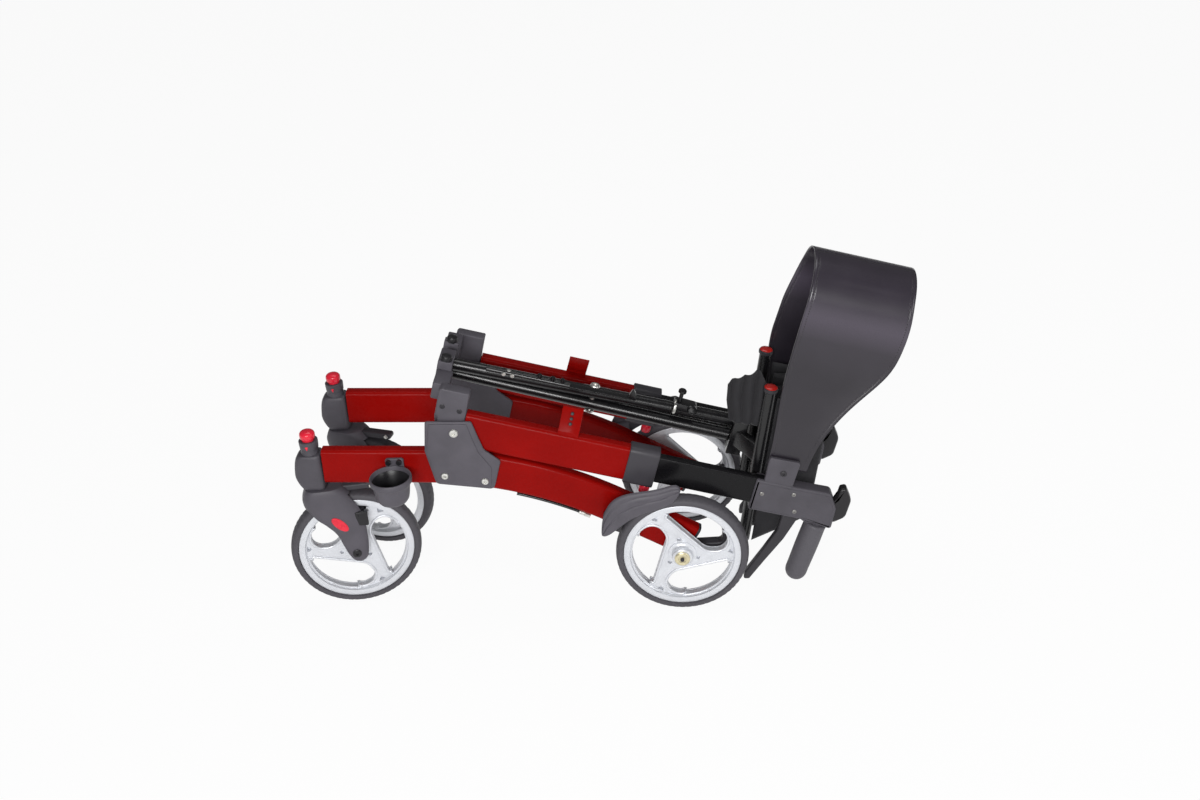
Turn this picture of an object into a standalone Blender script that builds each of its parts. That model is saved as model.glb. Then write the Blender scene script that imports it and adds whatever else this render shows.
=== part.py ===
"""Folding rollator, folded flat: two curved side frames, uprights hinged down over them, an X brace that
folds sideways, a pleated seat and a backrest belt. Metres. X runs to the rear, Z up, Y from the near (left)
side to the far. Shapes are worked out with the rear axle at X = 0, the mid-plane at Y = 0 and the ground at
Z = 0."""

import math

import bmesh
import bpy
from mathutils import Matrix, Vector

# Driving dimensions
RUN_GAP = 0.0003
WHEEL_R = 0.100
TYRE_HALF_WIDTH = 0.0128
RIM_SEAT_R = WHEEL_R - 0.012
RIM_HALF_WIDTH = 0.011
RIM_INNER_R = RIM_SEAT_R - 0.0095
HUB_R = 0.017
WEB_HALF = 0.007
WHEEL_STEPS = 28
FRONT_HUB_HALF = 0.0155
REAR_HUB_IN = 0.0135
REAR_HUB_OUT = 0.0185
AXLE_R = 0.006
AXLE_BOSS_R = 0.009
WHEELBASE = 0.504
TRAIL = 0.044
TOE_IN = math.radians(12.7)
FRAME_Y = 0.089
REAR_WHEEL_Y = FRAME_Y + 0.0255
TUBE_H = 0.057
TUBE_T = 0.022
TUBE_WALL = 0.0022
SLEEVE_FIT = 0.0004
INNER_H = TUBE_H - 0.011
INNER_T = TUBE_T - 0.007
CASTER_X = -(WHEELBASE + TRAIL)
TUBE_FRONT_X = CASTER_X + 0.018
TUBE_FRONT_Z = 0.2545
BEND_START_X = -0.380
BEND_R = 0.600
BEND_FROM = math.radians(1.8)
BEND_TO = math.radians(30.3)
TUBE_REAR_X = 0.012
FOLD_X = -0.326
FOLD_Z = 0.312
FOLD_TILT = math.radians(15.6)
EYE_R = 0.0283
PIN_R = 0.005
UPRIGHT_N = 0.216
UPRIGHT_U = (-0.385, -0.114)
COLLAR_U = (-0.141, -0.096)
INNER_TUBE_U = (-0.312, 0.098)
CHEEK_T = 0.006
BRACKET_T = 0.020
PLATE_TOP_N = 0.2775
CATCH_U = -0.2350
CATCH_W = 0.031
CATCH_TOP_N = 0.282
CATCH_FOOT_Y = FRAME_Y + 0.0055
CATCH_LIP_Y = FRAME_Y - 0.0125
ARM_R = 0.0095
ARM_LENGTH = 0.450
ARM_PIVOT_Y = 0.006
ARM_FRONT_U = -0.432
ARM_N = {"upper": 0.2695, "lower": 0.2495}
ARM_EYE_OVER = 0.0125
TAB_T = 0.006
ARM_PIN_R = 0.004
RAIL_R = 0.009
RAIL_Y = 0.060
RAIL_TOP = (0.136, 0.349)
RAIL_BOTTOM = (0.094, 0.084)
RAIL_CAP_H = 0.008
SEAT_PANELS = 6
SEAT_PANEL_W = 0.084
SEAT_T = 0.0016
BELT_T = 0.0022
BELT_HALF_GAP = 0.0006
BELT_PLATE_INNER = FRAME_Y + 0.003
BELT_PLATE_OUTER = FRAME_Y + 0.0105
GRIP_R = 0.0172
GRIP_LENGTH = 0.122
GRIP_ROOT = 0.0168
GRIP_CORE_R = 0.011
GRIP_TOP = (0.206, 0.147)
GRIP_END = (0.170, 0.036)
LEVER_PIVOT = (0.163, 0.153)
LEVER_HALF = 0.0055
LEVER_PIN_R = 0.0025
CUP_R = 0.0315
CUP_H = 0.054
CUP_WALL = 0.0025
CUP_AT = (-0.421, -(FRAME_Y + 0.0475), 0.259)
CABLE_R = 0.0022
BUTTON_R = 0.0115
BUTTON_STEM_R = 0.0092
ORIGIN_SHIFT = (0.1271, 0.0149)

TILT_COS = math.cos(FOLD_TILT)
TILT_SIN = math.sin(FOLD_TILT)
ARM_REST = math.asin(2 * ARM_PIVOT_Y / ARM_LENGTH)
ARM_REAR_U = ARM_FRONT_U + ARM_LENGTH * math.cos(ARM_REST)
RAIL_SLOPE = math.atan2(RAIL_TOP[1] - RAIL_BOTTOM[1], RAIL_TOP[0] - RAIL_BOTTOM[0])


# Scene, materials and bodies


def clear_scene():
    for obj in list(bpy.data.objects):
        bpy.data.objects.remove(obj, do_unlink=True)


def new_collection(name):
    found = bpy.data.collections.new(name)
    bpy.context.scene.collection.children.link(found)
    return found


MATERIALS = {
    "red_tube": ((0.33, 0.010, 0.008), 0.30, 0.6),
    "black_tube": ((0.012, 0.012, 0.014), 0.25, 0.5),
    "charcoal_plastic": ((0.052, 0.048, 0.056), 0.50, 0.0),
    "red_plastic": ((0.60, 0.030, 0.050), 0.35, 0.0),
    "silver_rim": ((0.75, 0.77, 0.80), 0.30, 0.6),
    "tyre_rubber": ((0.045, 0.042, 0.047), 0.75, 0.0),
    "grip_rubber": ((0.040, 0.038, 0.042), 0.70, 0.0),
    "zinc_steel": ((0.55, 0.53, 0.48), 0.40, 0.9),
    "seat_fabric": ((0.018, 0.018, 0.020), 0.80, 0.0),
    "belt_vinyl": ((0.050, 0.047, 0.055), 0.42, 0.0),
    "cable_sheath": ((0.015, 0.015, 0.016), 0.50, 0.0),
}


def material(kind, name):
    color, roughness, metallic = MATERIALS[kind]
    mat = bpy.data.materials.new(f"{kind}.{name}")
    mat.use_nodes = True
    shader = mat.node_tree.nodes["Principled BSDF"]
    shader.inputs["Base Color"].default_value = (*color, 1.0)
    shader.inputs["Roughness"].default_value = roughness
    shader.inputs["Metallic"].default_value = metallic
    return mat


def body(name, at, parent=None):
    """An empty on the body's joint axis, which carries the body's pieces."""
    empty = bpy.data.objects.new(name, None)
    empty.empty_display_size = 0.02
    PARTS.objects.link(empty)
    empty.matrix_world = Matrix.Translation(Vector(at))
    if parent:
        attach(empty, parent)
    return empty


def attach(obj, parent):
    bpy.context.view_layer.update()
    world = obj.matrix_world.copy()
    obj.parent = parent
    obj.matrix_parent_inverse = parent.matrix_world.inverted()
    obj.matrix_world = world


def node(name, obj, kind, parent):
    """Names a finished solid, gives it a material and hangs it on its body."""
    obj.name = name
    obj.data.name = name
    obj.data.materials.clear()
    obj.data.materials.append(material(kind, name))
    CUTTERS.objects.unlink(obj)
    PARTS.objects.link(obj)
    obj.hide_render = False
    obj.display_type = "TEXTURED"
    attach(obj, parent)
    return obj


# Modelling helpers, which make plain meshes in world coordinates


def helper(data, matrix=None):
    obj = bpy.data.objects.new("helper", data)
    CUTTERS.objects.link(obj)
    obj.hide_render = True
    obj.display_type = "WIRE"
    if matrix is not None:
        obj.matrix_world = matrix
    return obj


def baked(obj):
    """The object as its modifiers and matrix leave it, as one clean mesh facing out."""
    bpy.context.view_layer.update()
    graph = bpy.context.evaluated_depsgraph_get()
    mesh = bpy.data.meshes.new_from_object(obj.evaluated_get(graph))
    mesh.transform(obj.matrix_world)
    bpy.data.objects.remove(obj, do_unlink=True)
    bm = bmesh.new()
    bm.from_mesh(mesh)
    bmesh.ops.remove_doubles(bm, verts=bm.verts, dist=0.000002)
    bmesh.ops.dissolve_degenerate(bm, edges=bm.edges, dist=0.000002)
    bmesh.ops.recalc_face_normals(bm, faces=bm.faces)
    bm.to_mesh(mesh)
    bm.free()
    return helper(mesh)


def merged_flats(obj):
    """The object without back-to-back slivers, and with the flat faces that a Boolean split put together."""
    bm = bmesh.new()
    bm.from_mesh(obj.data)
    bmesh.ops.triangulate(bm, faces=bm.faces)
    by_corners = {}
    for face in bm.faces:
        by_corners.setdefault(frozenset(vert.index for vert in face.verts), []).append(face)
    slivers = [face for faces in by_corners.values() if len(faces) > 1 for face in faces]
    bmesh.ops.delete(bm, geom=slivers, context="FACES")
    bmesh.ops.dissolve_limit(bm, angle_limit=math.radians(0.4), verts=bm.verts, edges=bm.edges)
    bm.to_mesh(obj.data)
    bm.free()
    return obj


def from_bmesh(bm):
    mesh = bpy.data.meshes.new("helper")
    bm.to_mesh(mesh)
    bm.free()
    return helper(mesh)


def bevelled(obj, width, segments=1, angle=35.0):
    if width <= 0:
        return obj
    modifier = obj.modifiers.new("edges", "BEVEL")
    modifier.width = width
    modifier.segments = segments
    modifier.limit_method = "ANGLE"
    modifier.angle_limit = math.radians(angle)
    return baked(obj)


def shaped(base, add=(), cut=()):
    """The base with pieces fused on, then others cut out, by Boolean modifiers."""
    for operation, others in (("UNION", add), ("DIFFERENCE", cut)):
        for other in others:
            modifier = base.modifiers.new(operation.lower(), "BOOLEAN")
            modifier.operation = operation
            modifier.solver = "MANIFOLD"
            modifier.object = other
    result = merged_flats(baked(base))
    for other in (*add, *cut):
        bpy.data.objects.remove(other, do_unlink=True)
    return result


def rounded(corners, steps=2):
    """An outline from (a, b, radius) corners, each turned into an arc of a few points."""
    points = []
    for index, (a, b, radius) in enumerate(corners):
        here = Vector((a, b))
        before = (Vector(corners[index - 1][:2]) - here).normalized()
        after = (Vector(corners[(index + 1) % len(corners)][:2]) - here).normalized()
        half = before.angle(after) / 2
        if radius <= 0 or half > math.radians(85):
            points.append((a, b))
            continue
        reach = radius / math.tan(half)
        middle = here + (before + after).normalized() * (radius / math.sin(half))
        start = here + before * reach - middle
        turn = start.angle_signed(here + after * reach - middle)
        for step in range(steps + 1):
            spoke = start.copy()
            spoke.rotate(Matrix.Rotation(-turn * step / steps, 2))
            points.append(tuple(middle + spoke))
    return points


def outline_curve(points, half_thickness=0.0, fill="BOTH"):
    curve = bpy.data.curves.new("outline", "CURVE")
    curve.dimensions = "2D"
    curve.fill_mode = fill
    curve.extrude = half_thickness
    spline = curve.splines.new("POLY")
    spline.points.add(len(points) - 1)
    for point, (a, b) in zip(spline.points, points):
        point.co = (a, b, 0, 1)
    spline.use_cyclic_u = True
    return curve


FLAT = Matrix.Rotation(math.pi / 2, 4, "X")


def prism(points, y_from, y_to, edge=0.0, segments=1):
    """A side-view outline in X and Z, given thickness along Y."""
    curve = outline_curve(points, abs(y_to - y_from) / 2)
    middle = Matrix.Translation((0, (y_from + y_to) / 2, 0))
    return bevelled(baked(helper(curve, middle @ FLAT)), edge, segments)


def frame_matrix(origin, first, second):
    """A matrix whose X and Y axes lie along first and second."""
    first = Vector(first).normalized()
    second = Vector(second).normalized()
    third = first.cross(second)
    turn = Matrix((first, second, third)).transposed().to_4x4()
    return Matrix.Translation(Vector(origin)) @ turn


def slab(points, origin, first, second, depth, edge=0.0):
    """An outline in the plane of two directions, given thickness both ways across it."""
    curve = outline_curve(points, depth / 2)
    return bevelled(baked(helper(curve, frame_matrix(origin, first, second))), edge)


def rod(start, end, radius, steps=16, end_radius=None):
    start = Vector(start)
    end = Vector(end)
    bm = bmesh.new()
    bmesh.ops.create_cone(
        bm,
        cap_ends=True,
        segments=steps,
        radius1=radius,
        radius2=radius if end_radius is None else end_radius,
        depth=(end - start).length,
    )
    turn = Vector((0, 0, 1)).rotation_difference(end - start).to_matrix().to_4x4()
    bmesh.ops.transform(bm, matrix=Matrix.Translation((start + end) / 2) @ turn, verts=bm.verts)
    return from_bmesh(bm)


def turned(profile, origin, axis, steps=24, closed=False):
    """A profile of (radius, height) points turned about an axis with a Screw modifier."""
    mesh = bpy.data.meshes.new("profile")
    edges = [(i, i + 1) for i in range(len(profile) - 1)]
    if closed:
        edges.append((len(profile) - 1, 0))
    mesh.from_pydata([(r, 0, h) for r, h in profile], edges, [])
    turn = Vector((0, 0, 1)).rotation_difference(Vector(axis)).to_matrix().to_4x4()
    obj = helper(mesh, Matrix.Translation(Vector(origin)) @ turn)
    screw = obj.modifiers.new("turn", "SCREW")
    screw.steps = steps
    screw.render_steps = steps
    screw.use_merge_vertices = True
    screw.merge_threshold = 0.00001
    return baked(obj)


def oval(height, thickness, corner_share=0.62, steps=2):
    """The cross-section of a flat oval tube: X across the tube's height, Y across its thickness."""
    h = height / 2
    t = thickness / 2
    r = t * corner_share
    return rounded([(-h, -t, r), (h, -t, r), (h, t, r), (-h, t, r)], steps)


def swept(path, section):
    """A section carried along a path of (x, z) points, as a capped solid about the plane Y = 0."""
    profile = helper(outline_curve(section, fill="NONE"))
    curve = bpy.data.curves.new("path", "CURVE")
    curve.dimensions = "2D"
    curve.fill_mode = "NONE"
    curve.bevel_mode = "OBJECT"
    curve.bevel_object = profile
    curve.use_fill_caps = True
    spline = curve.splines.new("POLY")
    spline.points.add(len(path) - 1)
    for point, (x, z) in zip(spline.points, path):
        point.co = (x, z, 0, 1)
    result = baked(helper(curve, FLAT))
    bpy.data.objects.remove(profile, do_unlink=True)
    return result


def moved(obj, offset):
    obj.data.transform(Matrix.Translation(Vector(offset)))
    return obj


def shell(place, columns, rows, thickness):
    """An open sheet, place(s, t) for s and t from 0 to 1, thickened with Solidify."""
    bm = bmesh.new()
    bmesh.ops.create_grid(bm, x_segments=columns, y_segments=rows, size=0.5)
    for vert in bm.verts:
        vert.co = Vector(place(vert.co.x + 0.5, vert.co.y + 0.5))
    obj = from_bmesh(bm)
    solidify = obj.modifiers.new("thickness", "SOLIDIFY")
    solidify.thickness = thickness
    solidify.offset = 0.0
    return baked(obj)


def cord(points, radius):
    curve = bpy.data.curves.new("cord", "CURVE")
    curve.dimensions = "3D"
    curve.bevel_depth = radius
    curve.bevel_resolution = 1
    curve.use_fill_caps = True
    spline = curve.splines.new("POLY")
    spline.points.add(len(points) - 1)
    for point, at in zip(spline.points, points):
        point.co = (*at, 1)
    return baked(helper(curve))


def hull(points):
    bm = bmesh.new()
    for point in points:
        bm.verts.new(point)
    bmesh.ops.convex_hull(bm, input=bm.verts)
    return from_bmesh(bm)


# Directions of the folded uprights: U along them to the rear, N square to them


def un(u, n):
    """Side-view X and Z of a place given along and square to the uprights."""
    return (TILT_COS * u + TILT_SIN * n, -TILT_SIN * u + TILT_COS * n)


def un3(u, y, n):
    x, z = un(u, n)
    return (x, y, z)


def at_y(place, y):
    """World coordinates of a side-view place."""
    return (place[0], y, place[1])


U_AXIS = Vector((TILT_COS, 0, -TILT_SIN))
N_AXIS = Vector((TILT_SIN, 0, TILT_COS))
FOLD_U = TILT_COS * FOLD_X - TILT_SIN * FOLD_Z
FOLD_N = TILT_SIN * FOLD_X + TILT_COS * FOLD_Z


def arc(centre, radius, start, end, steps):
    """Points on a circle between two angles in degrees."""
    found = []
    for step in range(steps + 1):
        angle = math.radians(start + (end - start) * step / steps)
        found.append((centre[0] + radius * math.cos(angle), centre[1] + radius * math.sin(angle)))
    return found


# Side frame


def frame_path(start_x=TUBE_FRONT_X, end_x=TUBE_REAR_X, drop=0.0, steps=8):
    """The centre line of the bent side tube, or a line a distance below it."""
    lead = math.tan(BEND_FROM)
    bend_z = TUBE_FRONT_Z - lead * (BEND_START_X - TUBE_FRONT_X)

    def at(x):
        if x <= BEND_START_X:
            return bend_z + lead * (BEND_START_X - x), BEND_FROM
        reach = (x - BEND_START_X) / BEND_R + math.sin(BEND_FROM)
        if reach < math.sin(BEND_TO):
            angle = math.asin(reach)
            return bend_z - BEND_R * (math.cos(BEND_FROM) - math.cos(angle)), angle
        last_x = BEND_START_X + BEND_R * (math.sin(BEND_TO) - math.sin(BEND_FROM))
        last_z = bend_z - BEND_R * (math.cos(BEND_FROM) - math.cos(BEND_TO))
        return last_z - math.tan(BEND_TO) * (x - last_x), BEND_TO

    marks = [start_x] if start_x >= BEND_START_X else [start_x, BEND_START_X]
    first = marks[-1]
    marks += [first + (end_x - first) * (step + 1) / steps for step in range(steps)]
    points = []
    for x in marks:
        z, angle = at(x)
        points.append((x - drop * math.sin(angle), z - drop * math.cos(angle)))
    return points


def main_tube(side):
    outer = moved(swept(frame_path(), oval(TUBE_H, TUBE_T)), (0, side * FRAME_Y, 0))
    bore_size = (TUBE_H - 2 * TUBE_WALL, TUBE_T - 2 * TUBE_WALL)
    bore_path = frame_path(TUBE_FRONT_X - 0.001, TUBE_REAR_X + 0.001)
    bore = moved(swept(bore_path, oval(*bore_size)), (0, side * FRAME_Y, 0))
    hole_ends = [(0, side * y, WHEEL_R) for y in (FRAME_Y, FRAME_Y + TUBE_T)]
    hole = rod(*hole_ends, AXLE_BOSS_R + RUN_GAP, 14)
    return shaped(outer, cut=(bore, hole))


def bolt_head(x, z, face_y, side, radius=0.0045, height=0.0022):
    sunk = 0.001
    return rod((x, side * (face_y - sunk), z), (x, side * (face_y + height), z), radius, 7, radius * 0.75)


COVER_BOLTS = ((-0.347, 0.239), (-0.288, 0.228))


def cover_outline(front_x, slope):
    """The hinge cover's side view: full at the back, its front edge set back where the brace lug swings."""
    return rounded(
        [
            (front_x + slope, 0.331, 0.004),
            (-0.299, 0.329, 0.004),
            (-0.291, 0.301, 0.010),
            (-0.285, 0.281, 0.010),
            (-0.262, 0.261, 0.006),
            (-0.276, 0.212, 0.008),
            (-0.362, 0.224, 0.008),
            (front_x, 0.281, 0.008),
        ]
    )


def joint_cover_outer(side):
    inner_y = FRAME_Y + TUBE_T / 2 + RUN_GAP
    plate = prism(cover_outline(-0.373, 0.006), side * inner_y, side * (inner_y + CHEEK_T), 0.0022, 2)
    face = inner_y + CHEEK_T
    pin_end = FRAME_Y - TUBE_T / 2 - CHEEK_T
    pin = rod((FOLD_X, side * pin_end, FOLD_Z), (FOLD_X, side * (face + 0.001), FOLD_Z), PIN_R, 16)
    heads = [bolt_head(x, z, face, side) for x, z in COVER_BOLTS]
    heads.append(bolt_head(FOLD_X, FOLD_Z, face, side, 0.0085, 0.003))
    return shaped(plate, add=(pin, *heads))


def joint_cover_inner(side):
    outer_y = FRAME_Y - TUBE_T / 2 - RUN_GAP
    face = outer_y - CHEEK_T
    plate = prism(cover_outline(-0.361, 0.004), side * outer_y, side * face, 0.0022, 1)
    heads = [
        rod((x, side * (face + 0.001), z), (x, side * (face - 0.003), z), 0.0045, 6)
        for x, z in COVER_BOLTS
    ]
    ends = [(FOLD_X, side * (FRAME_Y + reach), FOLD_Z) for reach in (-0.029, 0.011)]
    bore = rod(*ends, PIN_R + RUN_GAP, 16)
    return shaped(plate, add=heads, cut=(bore,))


HEAD_TOP_Z = 0.276
HEAD_HALF = 0.0170
HEAD_BOTTOM_Z = 0.217
STEM_R = 0.0080
STEM_TOP_Z = 0.258
CAP_TOP_Z = 0.298


def caster_head(side):
    """The moulded head at the front of the side tube, with the bore that the fork's stem turns in."""
    face_x = TUBE_FRONT_X - RUN_GAP - TUBE_H / 2 * math.sin(BEND_FROM)
    outline = rounded(
        [
            (CASTER_X - 0.016, HEAD_BOTTOM_Z, 0.004),
            (CASTER_X - 0.026, 0.236, 0.010),
            (CASTER_X - 0.019, HEAD_TOP_Z, 0.006),
            (face_x, HEAD_TOP_Z, 0.003),
            (face_x, HEAD_BOTTOM_Z + 0.004, 0.003),
        ],
        2,
    )
    block = prism(outline, side * (FRAME_Y - HEAD_HALF), side * (FRAME_Y + HEAD_HALF), 0.006)
    plug_size = (TUBE_H - 2 * TUBE_WALL - 2 * SLEEVE_FIT, TUBE_T - 2 * TUBE_WALL - 2 * SLEEVE_FIT)
    z0 = frame_path()[0][1]
    plug_path = [(TUBE_FRONT_X - 0.010, z0), (TUBE_FRONT_X + 0.030, z0 - 0.030 * math.tan(BEND_FROM))]
    plug = moved(swept(plug_path, oval(*plug_size)), (0, side * FRAME_Y, 0))
    at = (CASTER_X, side * FRAME_Y, 0)
    collar_profile = [
        (0, 0.262),
        (0.0135, 0.262),
        (0.0135, 0.288),
        (0.0142, 0.292),
        (0.0142, CAP_TOP_Z),
        (0, CAP_TOP_Z),
    ]
    cap_collar = turned(collar_profile, at, (0, 0, 1), 18)
    stem_bore = rod(
        (CASTER_X, side * FRAME_Y, HEAD_BOTTOM_Z - 0.002),
        (CASTER_X, side * FRAME_Y, STEM_TOP_Z + RUN_GAP),
        STEM_R + RUN_GAP,
        16,
    )
    button_bore = rod(
        (CASTER_X, side * FRAME_Y, CAP_TOP_Z - 0.012),
        (CASTER_X, side * FRAME_Y, CAP_TOP_Z + 0.002),
        BUTTON_STEM_R + RUN_GAP,
        16,
    )
    return shaped(block, add=(plug, cap_collar), cut=(stem_bore, button_bore))


def release_button(side):
    """The red button on the caster head: a stem in the head's bore under a domed cap."""
    low = CAP_TOP_Z - 0.0075
    gap_z = CAP_TOP_Z + 0.0035
    profile = [
        (0, low),
        (BUTTON_STEM_R, low),
        (BUTTON_STEM_R, gap_z),
        (BUTTON_R, gap_z),
        (BUTTON_R, gap_z + 0.0075),
        (BUTTON_R * 0.72, gap_z + 0.0115),
        (0, gap_z + 0.0123),
    ]
    return turned(profile, (CASTER_X, side * FRAME_Y, 0), (0, 0, 1), 16)


# Wheels


def swirl_opening():
    """One of the rim's three openings: a straight edge past the hub, a round heel and the rim's inner arc."""
    inner = RIM_INNER_R - 0.0025
    tip = Vector((inner * math.cos(math.radians(111)), inner * math.sin(math.radians(111))))
    heading = Vector((math.cos(math.radians(-47)), math.sin(math.radians(-47))))
    heel = tip + heading * (inner + 0.0155)
    far = Vector((inner * math.cos(math.radians(25)), inner * math.sin(math.radians(25))))
    corners = rounded([(*tip, 0.0), (*heel, 0.020), (*far, 0.0)], 4)
    return corners + arc((0, 0), inner, 25, 111, 5)[1:-1]


def wheel_place(at, yaw, mirror):
    """From wheel space, its axis along Y, to the world."""
    flip = Matrix.Scale(-1, 4, Vector((0, 1, 0))) if mirror else Matrix.Identity(4)
    return Matrix.Translation(Vector(at)) @ Matrix.Rotation(yaw, 4, "Z") @ flip


def rim(at, yaw, side, hub_in, hub_out):
    """A wheel centre: a seat ring for the tyre, a web with three swirled openings, and a bored hub."""
    web = prism(arc((0, 0), RIM_INNER_R + 0.003, 0, 345, 23), -WEB_HALF, WEB_HALF)
    swirl = swirl_opening()
    cuts = []
    for turn in range(3):
        spin = Matrix.Rotation(math.radians(120 * turn), 2)
        points = [tuple(spin @ Vector(point)) for point in swirl]
        cuts.append(prism(points, -0.02, 0.02))
    ring = turned(
        [
            (RIM_INNER_R, -RIM_HALF_WIDTH),
            (RIM_SEAT_R, -RIM_HALF_WIDTH),
            (RIM_SEAT_R, RIM_HALF_WIDTH),
            (RIM_INNER_R, RIM_HALF_WIDTH),
        ],
        (0, 0, 0),
        (0, 1, 0),
        WHEEL_STEPS,
        closed=True,
    )
    hub = rod((0, -hub_out, 0), (0, hub_in, 0), HUB_R, 16)
    bore = rod((0, -0.03, 0), (0, 0.03, 0), AXLE_R + RUN_GAP, 12)
    web = shaped(web, cut=cuts)
    wheel = shaped(ring, add=(web, hub), cut=(bore,))
    wheel.data.transform(wheel_place(at, yaw, side > 0))
    return baked(wheel)


def tyre(at, yaw):
    seat = RIM_SEAT_R + RUN_GAP
    half = TYRE_HALF_WIDTH
    profile = [
        (seat, -half * 0.82),
        (seat + 0.0040, -half * 0.96),
        (WHEEL_R - 0.0038, -half * 0.66),
        (WHEEL_R, 0),
        (WHEEL_R - 0.0038, half * 0.66),
        (seat + 0.0040, half * 0.96),
        (seat, half * 0.82),
    ]
    ring = turned(profile, (0, 0, 0), (0, 1, 0), WHEEL_STEPS, closed=True)
    ring.data.transform(wheel_place(at, yaw, False))
    return baked(ring)


FORK_HALF = 0.0245
FORK_SLOT_HALF = FRONT_HUB_HALF + 0.0006
FORK_TOP_Z = HEAD_BOTTOM_Z - RUN_GAP


def fork(side):
    """The swivelling fork: one swept outline, slotted by the wheel's disc, with its stem and axle."""
    outline = rounded(
        [
            (-0.017, FORK_TOP_Z, 0.003),
            (-0.025, 0.194, 0.010),
            (-0.010, 0.163, 0.012),
            (0.014, 0.140, 0.018),
            (0.026, 0.104, 0.014),
            (0.036, 0.082, 0.010),
            (0.058, 0.082, 0.010),
            (0.066, 0.110, 0.020),
            (0.064, 0.172, 0.018),
            (0.046, 0.204, 0.014),
            (0.036, FORK_TOP_Z, 0.004),
        ],
        2,
    )
    block = prism(outline, -FORK_HALF, FORK_HALF, 0.005)
    slot = rod((TRAIL, -FORK_SLOT_HALF, WHEEL_R), (TRAIL, FORK_SLOT_HALF, WHEEL_R), WHEEL_R + 0.003, 36)
    stem = rod((0, 0, FORK_TOP_Z - 0.004), (0, 0, STEM_TOP_Z), STEM_R, 16)
    axle = rod((TRAIL, -FORK_HALF - 0.002, WHEEL_R), (TRAIL, FORK_HALF + 0.002, WHEEL_R), AXLE_R, 12)
    part = shaped(shaped(block, cut=(slot,)), add=(stem, axle))
    part.data.transform(
        Matrix.Translation((CASTER_X, side * FRAME_Y, 0)) @ Matrix.Rotation(-side * TOE_IN, 4, "Z")
    )
    return baked(part)


def front_axle_at(side):
    """The front axle's middle: the trail, turned inboard by the toe-in."""
    turn = -side * TOE_IN
    x = CASTER_X + TRAIL * math.cos(turn)
    return (x, side * FRAME_Y + TRAIL * math.sin(turn), WHEEL_R), turn


def axle_bracket(side):
    """The casting in the tube's rear end: plug, end cap, tipping pedal and the rear axle."""
    plug_size = (TUBE_H - 2 * TUBE_WALL - 2 * SLEEVE_FIT, TUBE_T - 2 * TUBE_WALL - 2 * SLEEVE_FIT)
    end_x, end_z = frame_path()[-1]
    along = Vector((math.cos(BEND_TO), -math.sin(BEND_TO)))

    def on_line(distance):
        return (end_x + along.x * distance, end_z + along.y * distance)

    plug = moved(swept([on_line(-0.050), on_line(0.002)], oval(*plug_size)), (0, side * FRAME_Y, 0))
    cap = moved(swept([on_line(RUN_GAP), on_line(0.004)], oval(TUBE_H, TUBE_T)), (0, side * FRAME_Y, 0))
    pedal_outline = rounded(
        [
            (0.0035, 0.086, 0.0),
            (0.056, 0.086, 0.010),
            (0.074, 0.100, 0.006),
            (0.070, 0.122, 0.003),
            (0.062, 0.121, 0.003),
            (0.060, 0.103, 0.006),
            (0.0122, 0.101, 0.0),
        ]
    )
    pedal = prism(pedal_outline, side * (FRAME_Y - 0.009), side * (FRAME_Y + 0.009), 0.002)
    hub_out = REAR_WHEEL_Y + REAR_HUB_OUT + RUN_GAP
    hub_in = REAR_WHEEL_Y - REAR_HUB_IN - RUN_GAP
    axle = rod((0, side * FRAME_Y, WHEEL_R), (0, side * (hub_out + 0.002), WHEEL_R), AXLE_R, 12)
    boss = rod((0, side * FRAME_Y, WHEEL_R), (0, side * hub_in, WHEEL_R), AXLE_BOSS_R, 14)
    nut = rod((0, side * hub_out, WHEEL_R), (0, side * (hub_out + 0.0032), WHEEL_R), 0.0115, 16, 0.0095)
    return shaped(plug, add=(cap, pedal, boss, axle, nut))


# Rear brake

BRAKE_PIVOT = (-0.094, 0.1705)
BRAKE_PIN_R = 0.003


def brake_cover(side):
    """The leaf-shaped guard: a domed skin outside the wheel on a hollow foot against the side tube."""
    outline = rounded(
        [
            (-0.121, 0.139, 0.003),
            (-0.104, 0.139, 0.008),
            (-0.062, 0.165, 0.040),
            (-0.022, 0.180, 0.030),
            (0.003, 0.204, 0.014),
            (-0.004, 0.227, 0.010),
            (-0.058, 0.216, 0.060),
            (-0.103, 0.187, 0.030),
        ],
        3,
    )
    tube_face = FRAME_Y + TUBE_T / 2 + RUN_GAP
    outer = REAR_WHEEL_Y + TYRE_HALF_WIDTH + 0.011
    leaf_inner = outer - 0.013
    skin = 0.005
    leaf = prism(outline, side * leaf_inner, side * outer, 0.0045)
    foot_outline = [
        (-0.1165, 0.146),
        (-0.078, 0.158),
        (-0.070, 0.174),
        (-0.082, 0.1865),
        (-0.1015, 0.1835),
        (-0.1165, 0.164),
    ]
    foot = prism(foot_outline, side * tube_face, side * (leaf_inner + 0.004))
    wheel = rod((0, side * (FRAME_Y + 0.001), WHEEL_R), (0, side * (outer - skin), WHEEL_R), WHEEL_R + 0.0032, 38)
    pocket_outline = [
        (-0.1010, 0.1800),
        (-0.1115, 0.163),
        (-0.1090, 0.134),
        (-0.066, 0.134),
        (-0.066, 0.167),
        (-0.084, 0.1800),
    ]
    pocket = prism(pocket_outline, side * (tube_face + 0.003), side * (outer - skin - 0.0007))
    pin_start = at_y(BRAKE_PIVOT, side * (tube_face + 0.001))
    pin = rod(pin_start, at_y(BRAKE_PIVOT, side * (outer - 0.002)), BRAKE_PIN_R, 10)
    hollow = shaped(shaped(leaf, add=(foot,)), cut=(wheel, pocket))
    return shaped(hollow, add=(pin,))


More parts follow.
